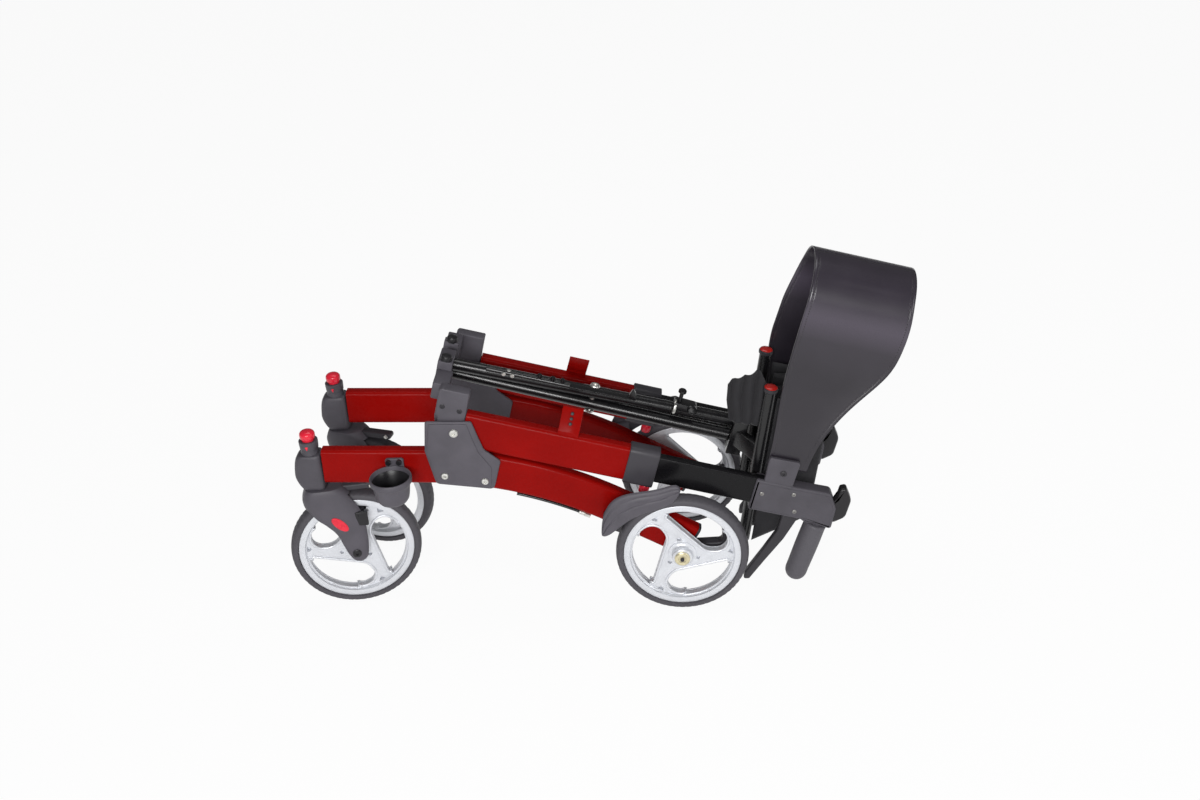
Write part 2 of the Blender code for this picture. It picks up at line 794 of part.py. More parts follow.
def brake_arm(side):
    """The brake's rocker: an eye on the guard's pin and a shoe that faces the tyre."""
    near = WHEEL_R + 0.0025
    shoe = arc((0, WHEEL_R), near, 144, 155, 3) + arc((0, WHEEL_R), near + 0.006, 155, 144, 3)
    middle = REAR_WHEEL_Y
    half = 0.009
    pad = prism(shoe, middle - half, middle + half)
    eye = rod(at_y(BRAKE_PIVOT, middle - half), at_y(BRAKE_PIVOT, middle + half), 0.0065, 14)
    low = (near + 0.0035) * Vector((math.cos(math.radians(149)), math.sin(math.radians(149))))
    link = rounded(
        [
            (BRAKE_PIVOT[0] - 0.005, BRAKE_PIVOT[1], 0),
            (low.x - 0.003, low.y + WHEEL_R, 0),
            (low.x + 0.004, low.y + WHEEL_R + 0.003, 0),
            (BRAKE_PIVOT[0] + 0.005, BRAKE_PIVOT[1], 0),
        ]
    )
    web = prism(link, middle - half * 0.7, middle + half * 0.7)
    bore_ends = [at_y(BRAKE_PIVOT, middle + reach) for reach in (-0.02, 0.02)]
    bore = rod(*bore_ends, BRAKE_PIN_R + RUN_GAP, 12)
    part = shaped(pad, add=(web, eye), cut=(bore,))
    if side < 0:
        part.data.transform(Matrix.Scale(-1, 4, Vector((0, 1, 0))))
    return baked(part)


def brake_cable(side):
    """The sheathed brake cable under the side tube, from the hinge cover to the guard."""
    start_x, end_x = -0.258, -0.124
    drop = TUBE_H / 2 + CABLE_R + RUN_GAP
    route = [(x, side * FRAME_Y, z) for x, z in frame_path(start_x, end_x, drop, 8)]
    return cord(route, CABLE_R)


def cane_cup():
    """The cup for a walking stick, clipped to the near side tube."""
    x, y, top = CUP_AT
    low = top - CUP_H
    profile = [
        (0, low),
        (CUP_R * 0.62, low),
        (CUP_R * 0.72, low + 0.004),
        (CUP_R * 0.93, top - 0.010),
        (CUP_R, top - 0.006),
        (CUP_R, top),
        (CUP_R - CUP_WALL, top),
        (CUP_R * 0.93 - CUP_WALL, top - 0.010),
        (CUP_R * 0.72 - CUP_WALL, low + 0.006),
        (0, low + 0.005),
    ]
    cup = turned(profile, (x, y, 0), (0, 0, 1), 28)
    face = -(FRAME_Y + TUBE_T / 2 + RUN_GAP)
    clip_outline = rounded(
        [
            (-0.434, 0.270, 0.004),
            (-0.406, 0.270, 0.004),
            (-0.408, 0.222, 0.004),
            (-0.432, 0.222, 0.004),
        ]
    )
    clip = prism(clip_outline, face, face - 0.0055, 0.001)
    return shaped(cup, add=(clip,))


# Uprights and hinge brackets


def upright(side):
    """The hollow upright, with the red seat catch riveted to its top edge."""
    path = [un(UPRIGHT_U[0], UPRIGHT_N), un(UPRIGHT_U[1], UPRIGHT_N)]
    ends = [un(UPRIGHT_U[0] - 0.001, UPRIGHT_N), un(UPRIGHT_U[1] + 0.001, UPRIGHT_N)]
    outer = moved(swept(path, oval(TUBE_H, TUBE_T)), (0, side * FRAME_Y, 0))
    bore_size = (TUBE_H - 2 * TUBE_WALL, TUBE_T - 2 * TUBE_WALL)
    bore = moved(swept(ends, oval(*bore_size)), (0, side * FRAME_Y, 0))
    tube = shaped(outer, cut=(bore,))
    # The catch stands on the tube's top edge and leans inboard over it.
    foot_n = UPRIGHT_N + TUBE_H / 2 - 0.003
    thick = 0.003
    section = [
        (side * CATCH_FOOT_Y, foot_n),
        (side * CATCH_FOOT_Y, foot_n + 0.006),
        (side * CATCH_LIP_Y, CATCH_TOP_N - 0.003),
        (side * CATCH_LIP_Y, CATCH_TOP_N),
        (side * (CATCH_FOOT_Y + thick), foot_n + 0.007),
        (side * (CATCH_FOOT_Y + thick), foot_n),
    ]
    catch = slab(section, un3(CATCH_U, 0, 0), (0, 1, 0), N_AXIS, CATCH_W, 0.0006)
    face_out = Vector((0, side * 0.86, 0.50))
    rivets = []
    fall = CATCH_TOP_N - foot_n - 0.0105
    for share in (0.30, 0.52, 0.74):
        y = side * (CATCH_LIP_Y + thick / 2 + (CATCH_FOOT_Y - CATCH_LIP_Y) * share)
        centre = Vector(un3(CATCH_U, y, CATCH_TOP_N - fall * share))
        out = N_AXIS * face_out.z + Vector((0, face_out.y, 0))
        rivets.append(rod(centre - out * 0.001, centre + out * 0.0032, 0.0026, 8))
    return shaped(tube, add=(catch, *rivets))


PIVOT_TOP_N = ARM_N["upper"] + ARM_EYE_OVER + RUN_GAP + TAB_T
PIVOT_LOW_N = ARM_N["lower"] - ARM_EYE_OVER - RUN_GAP - TAB_T


def pivot_tab(level, wall_y, back_y):
    """Y and N outline of a post with one tab, over the upper brace arm or under the lower one."""
    tab_y = ARM_PIVOT_Y - 0.010
    if level == "upper":
        return [
            (wall_y, PIVOT_LOW_N),
            (back_y, PIVOT_LOW_N),
            (back_y, PIVOT_TOP_N),
            (tab_y, PIVOT_TOP_N),
            (tab_y, PIVOT_TOP_N - TAB_T),
            (wall_y, PIVOT_TOP_N - TAB_T),
        ]
    return [
        (tab_y, PIVOT_LOW_N),
        (back_y, PIVOT_LOW_N),
        (back_y, PIVOT_TOP_N),
        (wall_y, PIVOT_TOP_N),
        (wall_y, PIVOT_LOW_N + TAB_T),
        (tab_y, PIVOT_LOW_N + TAB_T),
    ]


def pivot_pin(level, u, side):
    """The pin from a post's tab through one brace arm's eye."""
    mid_n = (ARM_N["upper"] + ARM_N["lower"]) / 2
    if level == "upper":
        ends = (mid_n + 0.001, PIVOT_TOP_N - 0.001)
    else:
        ends = (PIVOT_LOW_N + 0.001, mid_n - 0.001)
    y = side * ARM_PIVOT_Y
    return rod(un3(u, y, ends[0]), un3(u, y, ends[1]), PIN_R, 12)


def hinge_bracket(side):
    """The casting at the upright's foot: fold eye, tongue, head plate and the post with the brace pivot."""
    level = "upper" if side < 0 else "lower"
    inner_y = FRAME_Y - BRACKET_T / 2
    outer_y = FRAME_Y + BRACKET_T / 2
    front = FOLD_U - 0.0325
    seat_u = UPRIGHT_U[0] - RUN_GAP
    low_angle = math.degrees(math.acos((seat_u - FOLD_U) / EYE_R))
    eye = arc((FOLD_U, FOLD_N), EYE_R, 160, 360 - low_angle, 8)
    outline = [
        (seat_u, PLATE_TOP_N - 0.002),
        (seat_u - 0.002, PLATE_TOP_N),
        (front + 0.004, PLATE_TOP_N),
        (front, PLATE_TOP_N - 0.004),
        (front, FOLD_N + 0.016),
        *eye,
    ]
    points = [un(u, n) for u, n in outline]
    plate = prism(points, side * inner_y, side * outer_y, 0.0015)
    tongue_h = TUBE_H - 2 * TUBE_WALL - 2 * SLEEVE_FIT
    tongue_t = TUBE_T - 2 * TUBE_WALL - 2 * SLEEVE_FIT
    path = [un(seat_u - 0.006, UPRIGHT_N), un(UPRIGHT_U[0] + 0.042, UPRIGHT_N)]
    tongue = moved(swept(path, oval(tongue_h, tongue_t)), (0, side * FRAME_Y, 0))
    lug_points = [(side * y, n) for y, n in pivot_tab(level, 0.024, 0.040)]
    lug = slab(lug_points, un3(ARM_FRONT_U, 0, 0), (0, 1, 0), N_AXIS, 0.022, 0.001)
    reach = [
        (side * 0.036, PLATE_TOP_N - 0.028),
        (side * (inner_y + 0.004), PLATE_TOP_N - 0.028),
        (side * (inner_y + 0.004), PLATE_TOP_N - 0.002),
        (side * 0.036, PLATE_TOP_N - 0.002),
    ]
    arm = slab(reach, un3(ARM_FRONT_U + 0.002, 0, 0), (0, 1, 0), N_AXIS, 0.024, 0.001)
    pin = pivot_pin(level, ARM_FRONT_U, side)
    cap_at = un3(ARM_FRONT_U, side * 0.031, PIVOT_TOP_N - 0.001)
    post_cap = rod(cap_at, Vector(cap_at) + N_AXIS * 0.008, 0.0085, 12)
    heads = []
    for x, z in ((-0.339, 0.353), (-0.315, 0.344)):
        heads.append(bolt_head(x, z, outer_y, side, 0.004, 0.0009))
    ends = [(FOLD_X, side * (FRAME_Y + over), FOLD_Z) for over in (-0.029, 0.031)]
    bore = rod(*ends, PIN_R + RUN_GAP, 16)
    return shaped(plate, add=(tongue, lug, arm, pin, post_cap, *heads), cut=(bore,))


def collar(side):
    """The moulded sleeve at the upright's end, stepped down to guide the handle tube."""
    lead = 0.003
    outer_path = [un(COLLAR_U[0], UPRIGHT_N), un(COLLAR_U[1], UPRIGHT_N)]
    outer = moved(swept(outer_path, oval(TUBE_H + 0.0062, TUBE_T + 0.006)), (0, side * FRAME_Y, 0))
    outer = bevelled(outer, 0.0018, 1, 60.0)
    seat_u = UPRIGHT_U[1] + RUN_GAP
    wide = [un(COLLAR_U[0] - lead, UPRIGHT_N), un(seat_u, UPRIGHT_N)]
    wide_bore = moved(
        swept(wide, oval(TUBE_H + 2 * RUN_GAP, TUBE_T + 2 * RUN_GAP)), (0, side * FRAME_Y, 0)
    )
    narrow = [un(COLLAR_U[0], UPRIGHT_N), un(COLLAR_U[1] + lead, UPRIGHT_N)]
    narrow_bore = moved(
        swept(narrow, oval(INNER_H + 2 * RUN_GAP, INNER_T + 2 * RUN_GAP)), (0, side * FRAME_Y, 0)
    )
    return shaped(outer, cut=(wide_bore, narrow_bore))


KNOB_U = -0.1055


def height_knob(side):
    """The spring knob under the collar, in red, which frees the handle tube when pulled."""
    top = UPRIGHT_N - (TUBE_H + 0.0062) / 2 - RUN_GAP
    profile = [
        (0, top - 0.015),
        (0.006, top - 0.015),
        (0.008, top - 0.012),
        (0.008, top - 0.003),
        (0.006, top),
        (0, top),
    ]
    return turned(profile, un3(KNOB_U, side * FRAME_Y, 0), N_AXIS, 16)


def telescoping_tube(side):
    """The black handle tube with the guide shoe that runs inside the upright."""
    path = [un(INNER_TUBE_U[0], UPRIGHT_N), un(INNER_TUBE_U[1], UPRIGHT_N)]
    ends = [un(INNER_TUBE_U[0] - 0.001, UPRIGHT_N), un(INNER_TUBE_U[1] + 0.001, UPRIGHT_N)]
    tube = moved(swept(path, oval(INNER_H, INNER_T)), (0, side * FRAME_Y, 0))
    shoe_size = (TUBE_H - 2 * TUBE_WALL - 2 * RUN_GAP, TUBE_T - 2 * TUBE_WALL - 2 * RUN_GAP)
    shoe_path = [un(INNER_TUBE_U[0] + 0.002, UPRIGHT_N), un(INNER_TUBE_U[0] + 0.026, UPRIGHT_N)]
    shoe = moved(swept(shoe_path, oval(*shoe_size)), (0, side * FRAME_Y, 0))
    bore = moved(swept(ends, oval(INNER_H - 0.004, INNER_T - 0.004)), (0, side * FRAME_Y, 0))
    return shaped(shaped(tube, add=(shoe,)), cut=(bore,))


# Handles

BRACKET_HALF = 0.0115


def handle_bracket(side):
    """The handle casting: socket on the tube, belt plate, grip core and end bumper."""
    y0 = side * (FRAME_Y - BRACKET_HALF)
    y1 = side * (FRAME_Y + BRACKET_HALF)
    outline = rounded(
        [
            (0.113, 0.2155, 0.003),
            (0.166, 0.201, 0.010),
            (0.222, 0.187, 0.008),
            (0.230, 0.160, 0.010),
            (0.2225, 0.1241, 0.004),
            (0.183, 0.1374, 0.002),
            (0.177, 0.143, 0.002),
            (0.147, 0.151, 0.004),
            (0.099, 0.164, 0.003),
        ],
        2,
    )
    casting = prism(outline, y0, y1, 0.0025)
    plate_outline = rounded(
        [
            (0.132, 0.252, 0.004),
            (0.177, 0.241, 0.004),
            (0.164, 0.195, 0.002),
            (0.122, 0.205, 0.002),
        ]
    )
    belt_plate = prism(plate_outline, side * BELT_PLATE_INNER, side * BELT_PLATE_OUTER, 0.0015)
    bumper_outline = rounded(
        [
            (0.220, 0.170, 0.002),
            (0.234, 0.186, 0.002),
            (0.240, 0.193, 0.003),
            (0.248, 0.190, 0.004),
            (0.251, 0.170, 0.020),
            (0.243, 0.143, 0.008),
            (0.222, 0.131, 0.004),
        ]
    )
    bumper = prism(bumper_outline, side * (FRAME_Y - 0.0085), side * (FRAME_Y + 0.0085), 0.003)
    start = Vector(at_y(GRIP_TOP, side * FRAME_Y))
    end = Vector(at_y(GRIP_END, side * FRAME_Y))
    heading = (end - start).normalized()
    core = rod(start - heading * 0.012, start + heading * (GRIP_LENGTH - 0.006), GRIP_CORE_R, 14)
    heads = []
    for x, z in ((0.120, 0.191), (0.167, 0.188), (0.168, 0.158)):
        heads.append(bolt_head(x, z, FRAME_Y + BRACKET_HALF, side, 0.0038, 0.0016))
    heads.append(bolt_head(0.152, 0.224, BELT_PLATE_OUTER, side, 0.005, 0.002))
    socket_path = [un(0.040, UPRIGHT_N), un(INNER_TUBE_U[1] + RUN_GAP, UPRIGHT_N)]
    socket = moved(
        swept(socket_path, oval(INNER_H + 2 * RUN_GAP, INNER_T + 2 * RUN_GAP)), (0, side * FRAME_Y, 0)
    )
    slot_outline = rounded(
        [
            (0.146, 0.162, 0.002),
            (0.180, 0.164, 0.006),
            (0.182, 0.125, 0.002),
            (0.140, 0.125, 0.002),
        ]
    )
    slot_half = LEVER_HALF + 2 * RUN_GAP
    slot = prism(slot_outline, side * (FRAME_Y - slot_half), side * (FRAME_Y + slot_half))
    pin = rod(at_y(LEVER_PIVOT, y0 + side * 0.002), at_y(LEVER_PIVOT, y1 - side * 0.002), LEVER_PIN_R, 12)
    part = shaped(casting, add=(belt_plate, bumper, core, *heads), cut=(socket, slot))
    return shaped(part, add=(pin,))


def brake_lever(side):
    """The brake lever, curved away below the grip, with its eye on the casting's pin."""
    px, pz = LEVER_PIVOT
    outline = rounded(
        [
            (px - 0.010, pz + 0.004, 0.004),
            (px + 0.006, pz + 0.008, 0.006),
            (px + 0.012, pz - 0.010, 0.004),
            (0.153, 0.104, 0.040),
            (0.124, 0.064, 0.060),
            (0.101, 0.031, 0.003),
            (0.092, 0.031, 0.003),
            (0.094, 0.043, 0.004),
            (0.121, 0.084, 0.040),
            (0.144, 0.121, 0.020),
        ]
    )
    lever = prism(outline, side * (FRAME_Y - LEVER_HALF), side * (FRAME_Y + LEVER_HALF), 0.002)
    ends = [at_y(LEVER_PIVOT, side * (FRAME_Y + reach)) for reach in (-0.019, 0.021)]
    bore = rod(*ends, LEVER_PIN_R + RUN_GAP, 12)
    return shaped(lever, cut=(bore,))


def grip(side):
    """The rubber grip: a turned sleeve with a palm swell and a rounded end, bored for the casting's core."""
    start = Vector(at_y(GRIP_TOP, side * FRAME_Y))
    end = Vector(at_y(GRIP_END, side * FRAME_Y))
    heading = (end - start).normalized()
    bore = GRIP_CORE_R + RUN_GAP
    root = GRIP_ROOT
    profile = [
        (bore, root),
        (GRIP_R * 0.94, root),
        (GRIP_R * 1.00, root + 0.006),
        (GRIP_R * 0.96, root + 0.030),
        (GRIP_R * 1.01, root + 0.062),
        (GRIP_R * 0.97, GRIP_LENGTH - 0.014),
        (GRIP_R * 0.86, GRIP_LENGTH - 0.005),
        (GRIP_R * 0.55, GRIP_LENGTH - 0.0005),
        (0, GRIP_LENGTH + 0.001),
        (0, GRIP_LENGTH - 0.0057),
        (bore, GRIP_LENGTH - 0.0057),
    ]
    return turned(profile, start, heading, 20, closed=True)


# X brace, seat and belt


def cross_arm(level):
    """One arm of the X brace: a tube between two upright eyes, drilled for the centre bolt."""
    front_y = -ARM_PIVOT_Y if level == "upper" else ARM_PIVOT_Y
    n = ARM_N[level]
    front = Vector(un3(ARM_FRONT_U, front_y, n))
    rear = Vector(un3(ARM_REAR_U, -front_y, n))
    tube = rod(front, rear, ARM_R, 14)
    low = n - ARM_R - 0.0002 if level == "upper" else n - ARM_EYE_OVER
    high = n + ARM_EYE_OVER if level == "upper" else n + ARM_R + 0.0002
    eyes = []
    bores = []
    for u, y in ((ARM_FRONT_U, front_y), (ARM_REAR_U, -front_y)):
        eyes.append(rod(un3(u, y, low), un3(u, y, high), ARM_R + 0.0004, 16))
        bores.append(rod(un3(u, y, low - 0.005), un3(u, y, high + 0.005), PIN_R + RUN_GAP, 12))
    centre = (ARM_FRONT_U + ARM_REAR_U) / 2
    bores.append(rod(un3(centre, 0, n - 0.02), un3(centre, 0, n + 0.02), ARM_PIN_R + RUN_GAP, 12))
    return shaped(shaped(tube, add=eyes), cut=bores)


def cross_pivot_bolt():
    centre = (ARM_FRONT_U + ARM_REAR_U) / 2
    low = ARM_N["lower"] - ARM_R - RUN_GAP
    high = ARM_N["upper"] + ARM_R + RUN_GAP
    profile = [
        (0, low - 0.0035),
        (0.0075, low - 0.0035),
        (0.0075, low),
        (ARM_PIN_R, low),
        (ARM_PIN_R, high),
        (0.0080, high),
        (0.0070, high + 0.0035),
        (0, high + 0.0035),
    ]
    return turned(profile, un3(centre, 0, 0), N_AXIS, 14)


def rail_at(height):
    """Side-view place on the seat rail's centre line at a height along it."""
    bottom = Vector(RAIL_BOTTOM)
    direction = Vector((math.cos(RAIL_SLOPE), math.sin(RAIL_SLOPE)))
    return bottom + direction * height


RAIL_LENGTH = (Vector(RAIL_TOP) - Vector(RAIL_BOTTOM)).length


def rail_u_at(n):
    """U of the rail's centre line where it crosses a level N."""
    top = Vector(RAIL_TOP)
    bottom = Vector(RAIL_BOTTOM)

    def both(place):
        return (TILT_COS * place.x - TILT_SIN * place.y, TILT_SIN * place.x + TILT_COS * place.y)

    (u1, n1), (u2, n2) = both(top), both(bottom)
    return u1 + (u2 - u1) * (n - n1) / (n2 - n1)


def seat_rail(side):
    """A seat rail with the holder that carries it on the rear pivot of one brace arm."""
    top = rail_at(RAIL_LENGTH - RAIL_CAP_H)
    rail = rod(at_y(RAIL_BOTTOM, side * RAIL_Y), at_y(top, side * RAIL_Y), RAIL_R, 16)
    level = "upper" if side > 0 else "lower"
    tab_points = [(side * y, n) for y, n in pivot_tab(level, 0.022, 0.032)]
    holder = slab(tab_points, un3(ARM_REAR_U, 0, 0), (0, 1, 0), N_AXIS, 0.022, 0.001)
    mid_n = (PIVOT_LOW_N + PIVOT_TOP_N) / 2
    rail_u = rail_u_at(mid_n)
    arm_points = [
        (ARM_REAR_U - 0.009, side * 0.027),
        (ARM_REAR_U + 0.0095, side * 0.025),
        (rail_u + 0.0063, side * (RAIL_Y - 0.0037)),
        (rail_u - 0.0057, side * (RAIL_Y + 0.0033)),
    ]
    arm = slab(arm_points, un3(0, 0, mid_n), U_AXIS, (0, 1, 0), 0.026)
    pin = pivot_pin(level, ARM_REAR_U, side)
    return shaped(rail, add=(holder, arm, pin))


def rail_cap(side):
    """The red plug on the rail's front end."""
    top = rail_at(RAIL_LENGTH)
    start = rail_at(RAIL_LENGTH - RAIL_CAP_H)
    axis = Vector((math.cos(RAIL_SLOPE), 0, math.sin(RAIL_SLOPE)))
    length = (top - start).length
    profile = [
        (0, RUN_GAP),
        (RAIL_R + 0.0018, RUN_GAP),
        (RAIL_R + 0.0018, length - 0.003),
        (RAIL_R, length),
        (0, length + 0.001),
    ]
    return turned(profile, at_y(start, side * RAIL_Y), axis, 16)


def seat_panel(index):
    """One pleat of the seat, mitred at its folds, between the two rails."""
    along = Vector((math.cos(RAIL_SLOPE), 0, math.sin(RAIL_SLOPE)))
    across = Vector((math.sin(RAIL_SLOPE), 0, -math.cos(RAIL_SLOPE)))
    half_span = RAIL_Y - 0.002
    pitch = 2 * half_span / SEAT_PANELS
    depth = math.sqrt(SEAT_PANEL_W**2 - pitch**2)
    mitre = SEAT_T / 2 / math.sin(math.atan2(pitch, depth))
    near = RAIL_R + RUN_GAP + mitre
    base = Vector(at_y(RAIL_BOTTOM, 0))
    points = []
    for end, inset in ((index, RUN_GAP / 2), (index + 1, -RUN_GAP / 2)):
        y = -half_span + end * pitch + inset
        reach = near if end % 2 == 0 else near + depth
        low = -0.004 if end % 2 == 0 else 0.040
        for offset in (-mitre, mitre):
            foot = base + across * (reach + offset) + Vector((0, y, 0))
            points.append(foot + along * low)
            points.append(foot + along * (RAIL_LENGTH - 0.020))
    return hull(points)


BELT_LOW_N = 0.262
BELT_ROUND_N = 0.505
BELT_ROUND_R = 0.064
BELT_LEAN = 0.010
BELT_FOOT_Y = BELT_PLATE_INNER - RUN_GAP - BELT_T / 2


def eased(value, low, high):
    """A smooth step from 0 at low to 1 at high."""
    t = min(max((value - low) / (high - low), 0.0), 1.0)
    return t * t * (3 - 2 * t)


def belt_path(share, side):
    """Along one half, from the bracket at 0 to the crown at 1: Y, N and the U of the front and rear edges."""
    straight = BELT_ROUND_N - BELT_LOW_N
    length = share * (straight + BELT_ROUND_R * math.pi / 2)
    if length < straight:
        y = BELT_FOOT_Y + (BELT_ROUND_R - BELT_FOOT_Y) * eased(length, 0, straight)
        n = BELT_LOW_N + length
    else:
        angle = (length - straight) / BELT_ROUND_R
        y = BELT_ROUND_R * math.cos(angle)
        n = BELT_ROUND_N + BELT_ROUND_R * math.sin(angle)
    lean = BELT_LEAN if side > 0 else 0.0
    front = 0.060 - (0.011 + lean) * eased(n, BELT_LOW_N, 0.410) + lean * eased(n, 0.450, 0.545)
    rear = 0.1195 + 0.087 * min((n - BELT_LOW_N) / 0.177, 1.0) ** 2 - 0.004 * eased(share, 0.65, 0.85)
    return y, n, front, rear


def belt_half(side):
    """Half of the backrest belt: narrow at the handle's plate, broad and rounded over at the crown."""

    def place(s, t):
        y, n, front, rear = belt_path(s, side)
        y = max(y, BELT_HALF_GAP / 2)
        bow = 0.004 * math.sin(math.pi * t) * math.sin(math.pi * min(s * 1.4, 1.0))
        return un3(front + (rear - front) * t, side * max(y - bow, BELT_HALF_GAP / 2), n)

    return shell(place, 14, 5, BELT_T)


# Assembly


def build_side(name, side, chassis, upright_body):
    frame = side * FRAME_Y
    node(f"{name}_main_tube", main_tube(side), "red_tube", chassis)
    node(f"{name}_joint_cover_outer", joint_cover_outer(side), "charcoal_plastic", chassis)
    node(f"{name}_joint_cover_inner", joint_cover_inner(side), "charcoal_plastic", chassis)
    node(f"{name}_caster_head", caster_head(side), "charcoal_plastic", chassis)
    node(f"{name}_axle_bracket", axle_bracket(side), "black_tube", chassis)
    node(f"{name}_brake_cover", brake_cover(side), "charcoal_plastic", chassis)
    node(f"{name}_brake_cable", brake_cable(side), "cable_sheath", chassis)

    button = body(f"{name}_button_slide", (CASTER_X, frame, CAP_TOP_Z), chassis)
    node(f"{name}_release_button", release_button(side), "red_plastic", button)
    caster = body(f"{name}_caster_swivel", (CASTER_X, frame, HEAD_BOTTOM_Z), chassis)
    node(f"{name}_fork", fork(side), "charcoal_plastic", caster)
    front_at, turn = front_axle_at(side)
    front = body(f"{name}_front_axle", front_at, caster)
    node(f"{name}_front_rim", rim(front_at, turn, side, FRONT_HUB_HALF, FRONT_HUB_HALF), "silver_rim", front)
    node(f"{name}_front_tyre", tyre(front_at, turn), "tyre_rubber", front)
    rear_at = (0, side * REAR_WHEEL_Y, WHEEL_R)
    rear = body(f"{name}_rear_axle", rear_at, chassis)
    node(f"{name}_rear_rim", rim(rear_at, 0, side, REAR_HUB_IN, REAR_HUB_OUT), "silver_rim", rear)
    node(f"{name}_rear_tyre", tyre(rear_at, 0), "tyre_rubber", rear)
    rocker = body(f"{name}_brake_pivot", at_y(BRAKE_PIVOT, side * REAR_WHEEL_Y), chassis)
    node(f"{name}_brake_arm", brake_arm(side), "black_tube", rocker)

    node(f"{name}_upright", upright(side), "red_tube", upright_body)
    node(f"{name}_hinge_bracket", hinge_bracket(side), "charcoal_plastic", upright_body)
    node(f"{name}_collar", collar(side), "charcoal_plastic", upright_body)
    knob = body(f"{name}_knob_slide", un3(KNOB_U, frame, 0.18), upright_body)
    node(f"{name}_height_knob", height_knob(side), "red_plastic", knob)
    handle = body(f"{name}_handle_slide", un3(COLLAR_U[1], frame, UPRIGHT_N), upright_body)
    node(f"{name}_telescoping_tube", telescoping_tube(side), "black_tube", handle)
    node(f"{name}_handle_bracket", handle_bracket(side), "charcoal_plastic", handle)
    node(f"{name}_grip", grip(side), "grip_rubber", handle)
    lever = body(f"{name}_lever_pivot", at_y(LEVER_PIVOT, frame), handle)
    node(f"{name}_brake_lever", brake_lever(side), "black_tube", lever)
    return handle


def build():
    root = body("rollator", (0, 0, 0))
    left_upright = body("left_fold_axis", (FOLD_X, -FRAME_Y, FOLD_Z), root)
    arm_a = body("arm_a_pivot", un3(ARM_FRONT_U, -ARM_PIVOT_Y, ARM_N["upper"]), left_upright)
    centre = (ARM_FRONT_U + ARM_REAR_U) / 2
    arm_b = body("arm_b_pivot", un3(centre, 0, 0.260), arm_a)
    right_upright = body("right_arm_pivot", un3(ARM_FRONT_U, ARM_PIVOT_Y, ARM_N["lower"]), arm_b)
    right_chassis = body("right_fold_axis", (FOLD_X, FRAME_Y, FOLD_Z), right_upright)

    left_handle = build_side("left", -1, root, left_upright)
    right_handle = build_side("right", 1, right_chassis, right_upright)
    node("left_cane_cup", cane_cup(), "charcoal_plastic", root)

    node("cross_arm_upper", cross_arm("upper"), "black_tube", arm_a)
    node("cross_arm_lower", cross_arm("lower"), "black_tube", arm_b)
    node("cross_pivot_bolt", cross_pivot_bolt(), "zinc_steel", arm_b)
    rails = {}
    for name, side, arm in (("left", -1, arm_b), ("right", 1, arm_a)):
        rails[name] = body(f"{name}_rail_pivot", un3(ARM_REAR_U, side * ARM_PIVOT_Y, 0.260), arm)
        node(f"{name}_seat_rail", seat_rail(side), "black_tube", rails[name])
        node(f"{name}_rail_cap", rail_cap(side), "red_plastic", rails[name])
    for index in range(SEAT_PANELS):
        node(f"seat_panel_{index + 1}", seat_panel(index), "seat_fabric", rails["left"])
    node("left_belt_half", belt_half(-1), "belt_vinyl", left_handle)
    node("right_belt_half", belt_half(1), "belt_vinyl", right_handle)

    root.location.x += ORIGIN_SHIFT[0]
    root.location.y += ORIGIN_SHIFT[1]


clear_scene()
PARTS = new_collection("folding_rollator")
CUTTERS = new_collection("cutters")
CUTTERS.hide_render = True
build()
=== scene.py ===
"""The looks of a folded rollator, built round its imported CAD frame. Lengths are in metres.
Shapes are worked out with the rear axle at X = 0, the mid-plane at Y = 0 and the ground at Z = 0, then shifted."""

import math

import bmesh
import bpy
import numpy as np
from bpy.props import FloatProperty, FloatVectorProperty, IntProperty, PointerProperty
from mathutils import Matrix, Vector


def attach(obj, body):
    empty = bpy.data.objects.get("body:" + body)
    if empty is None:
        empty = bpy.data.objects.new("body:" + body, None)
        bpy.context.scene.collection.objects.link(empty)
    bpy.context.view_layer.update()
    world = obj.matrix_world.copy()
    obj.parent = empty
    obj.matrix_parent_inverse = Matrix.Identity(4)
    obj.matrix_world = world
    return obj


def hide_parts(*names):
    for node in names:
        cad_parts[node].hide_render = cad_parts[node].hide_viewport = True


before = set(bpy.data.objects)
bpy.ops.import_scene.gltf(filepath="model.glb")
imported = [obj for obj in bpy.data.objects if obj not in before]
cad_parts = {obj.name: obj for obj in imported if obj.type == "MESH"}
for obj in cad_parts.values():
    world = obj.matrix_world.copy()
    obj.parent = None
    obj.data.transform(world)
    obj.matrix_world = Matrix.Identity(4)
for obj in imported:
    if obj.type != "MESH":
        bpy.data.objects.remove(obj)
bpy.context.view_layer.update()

bl_info = {
    "name": "Folding rollator",
    "version": (1, 0, 0),
    "blender": (4, 5, 0),
    "location": "View3D > Sidebar > Rollator",
    "description": "Builds the visible surfaces and materials of a folded four-wheel rollator",
    "category": "Add Mesh",
}

SHIFT = np.array((0.1271, 0.0149, 0.0))
SIDES = (("left", -1), ("right", 1))

# Sizes shared by several pieces, the same as the CAD's. A name ends in what it is: X, Y or Z a place, U or N a place
# along or square to the folded uprights, R a radius, H a height and T a thickness.

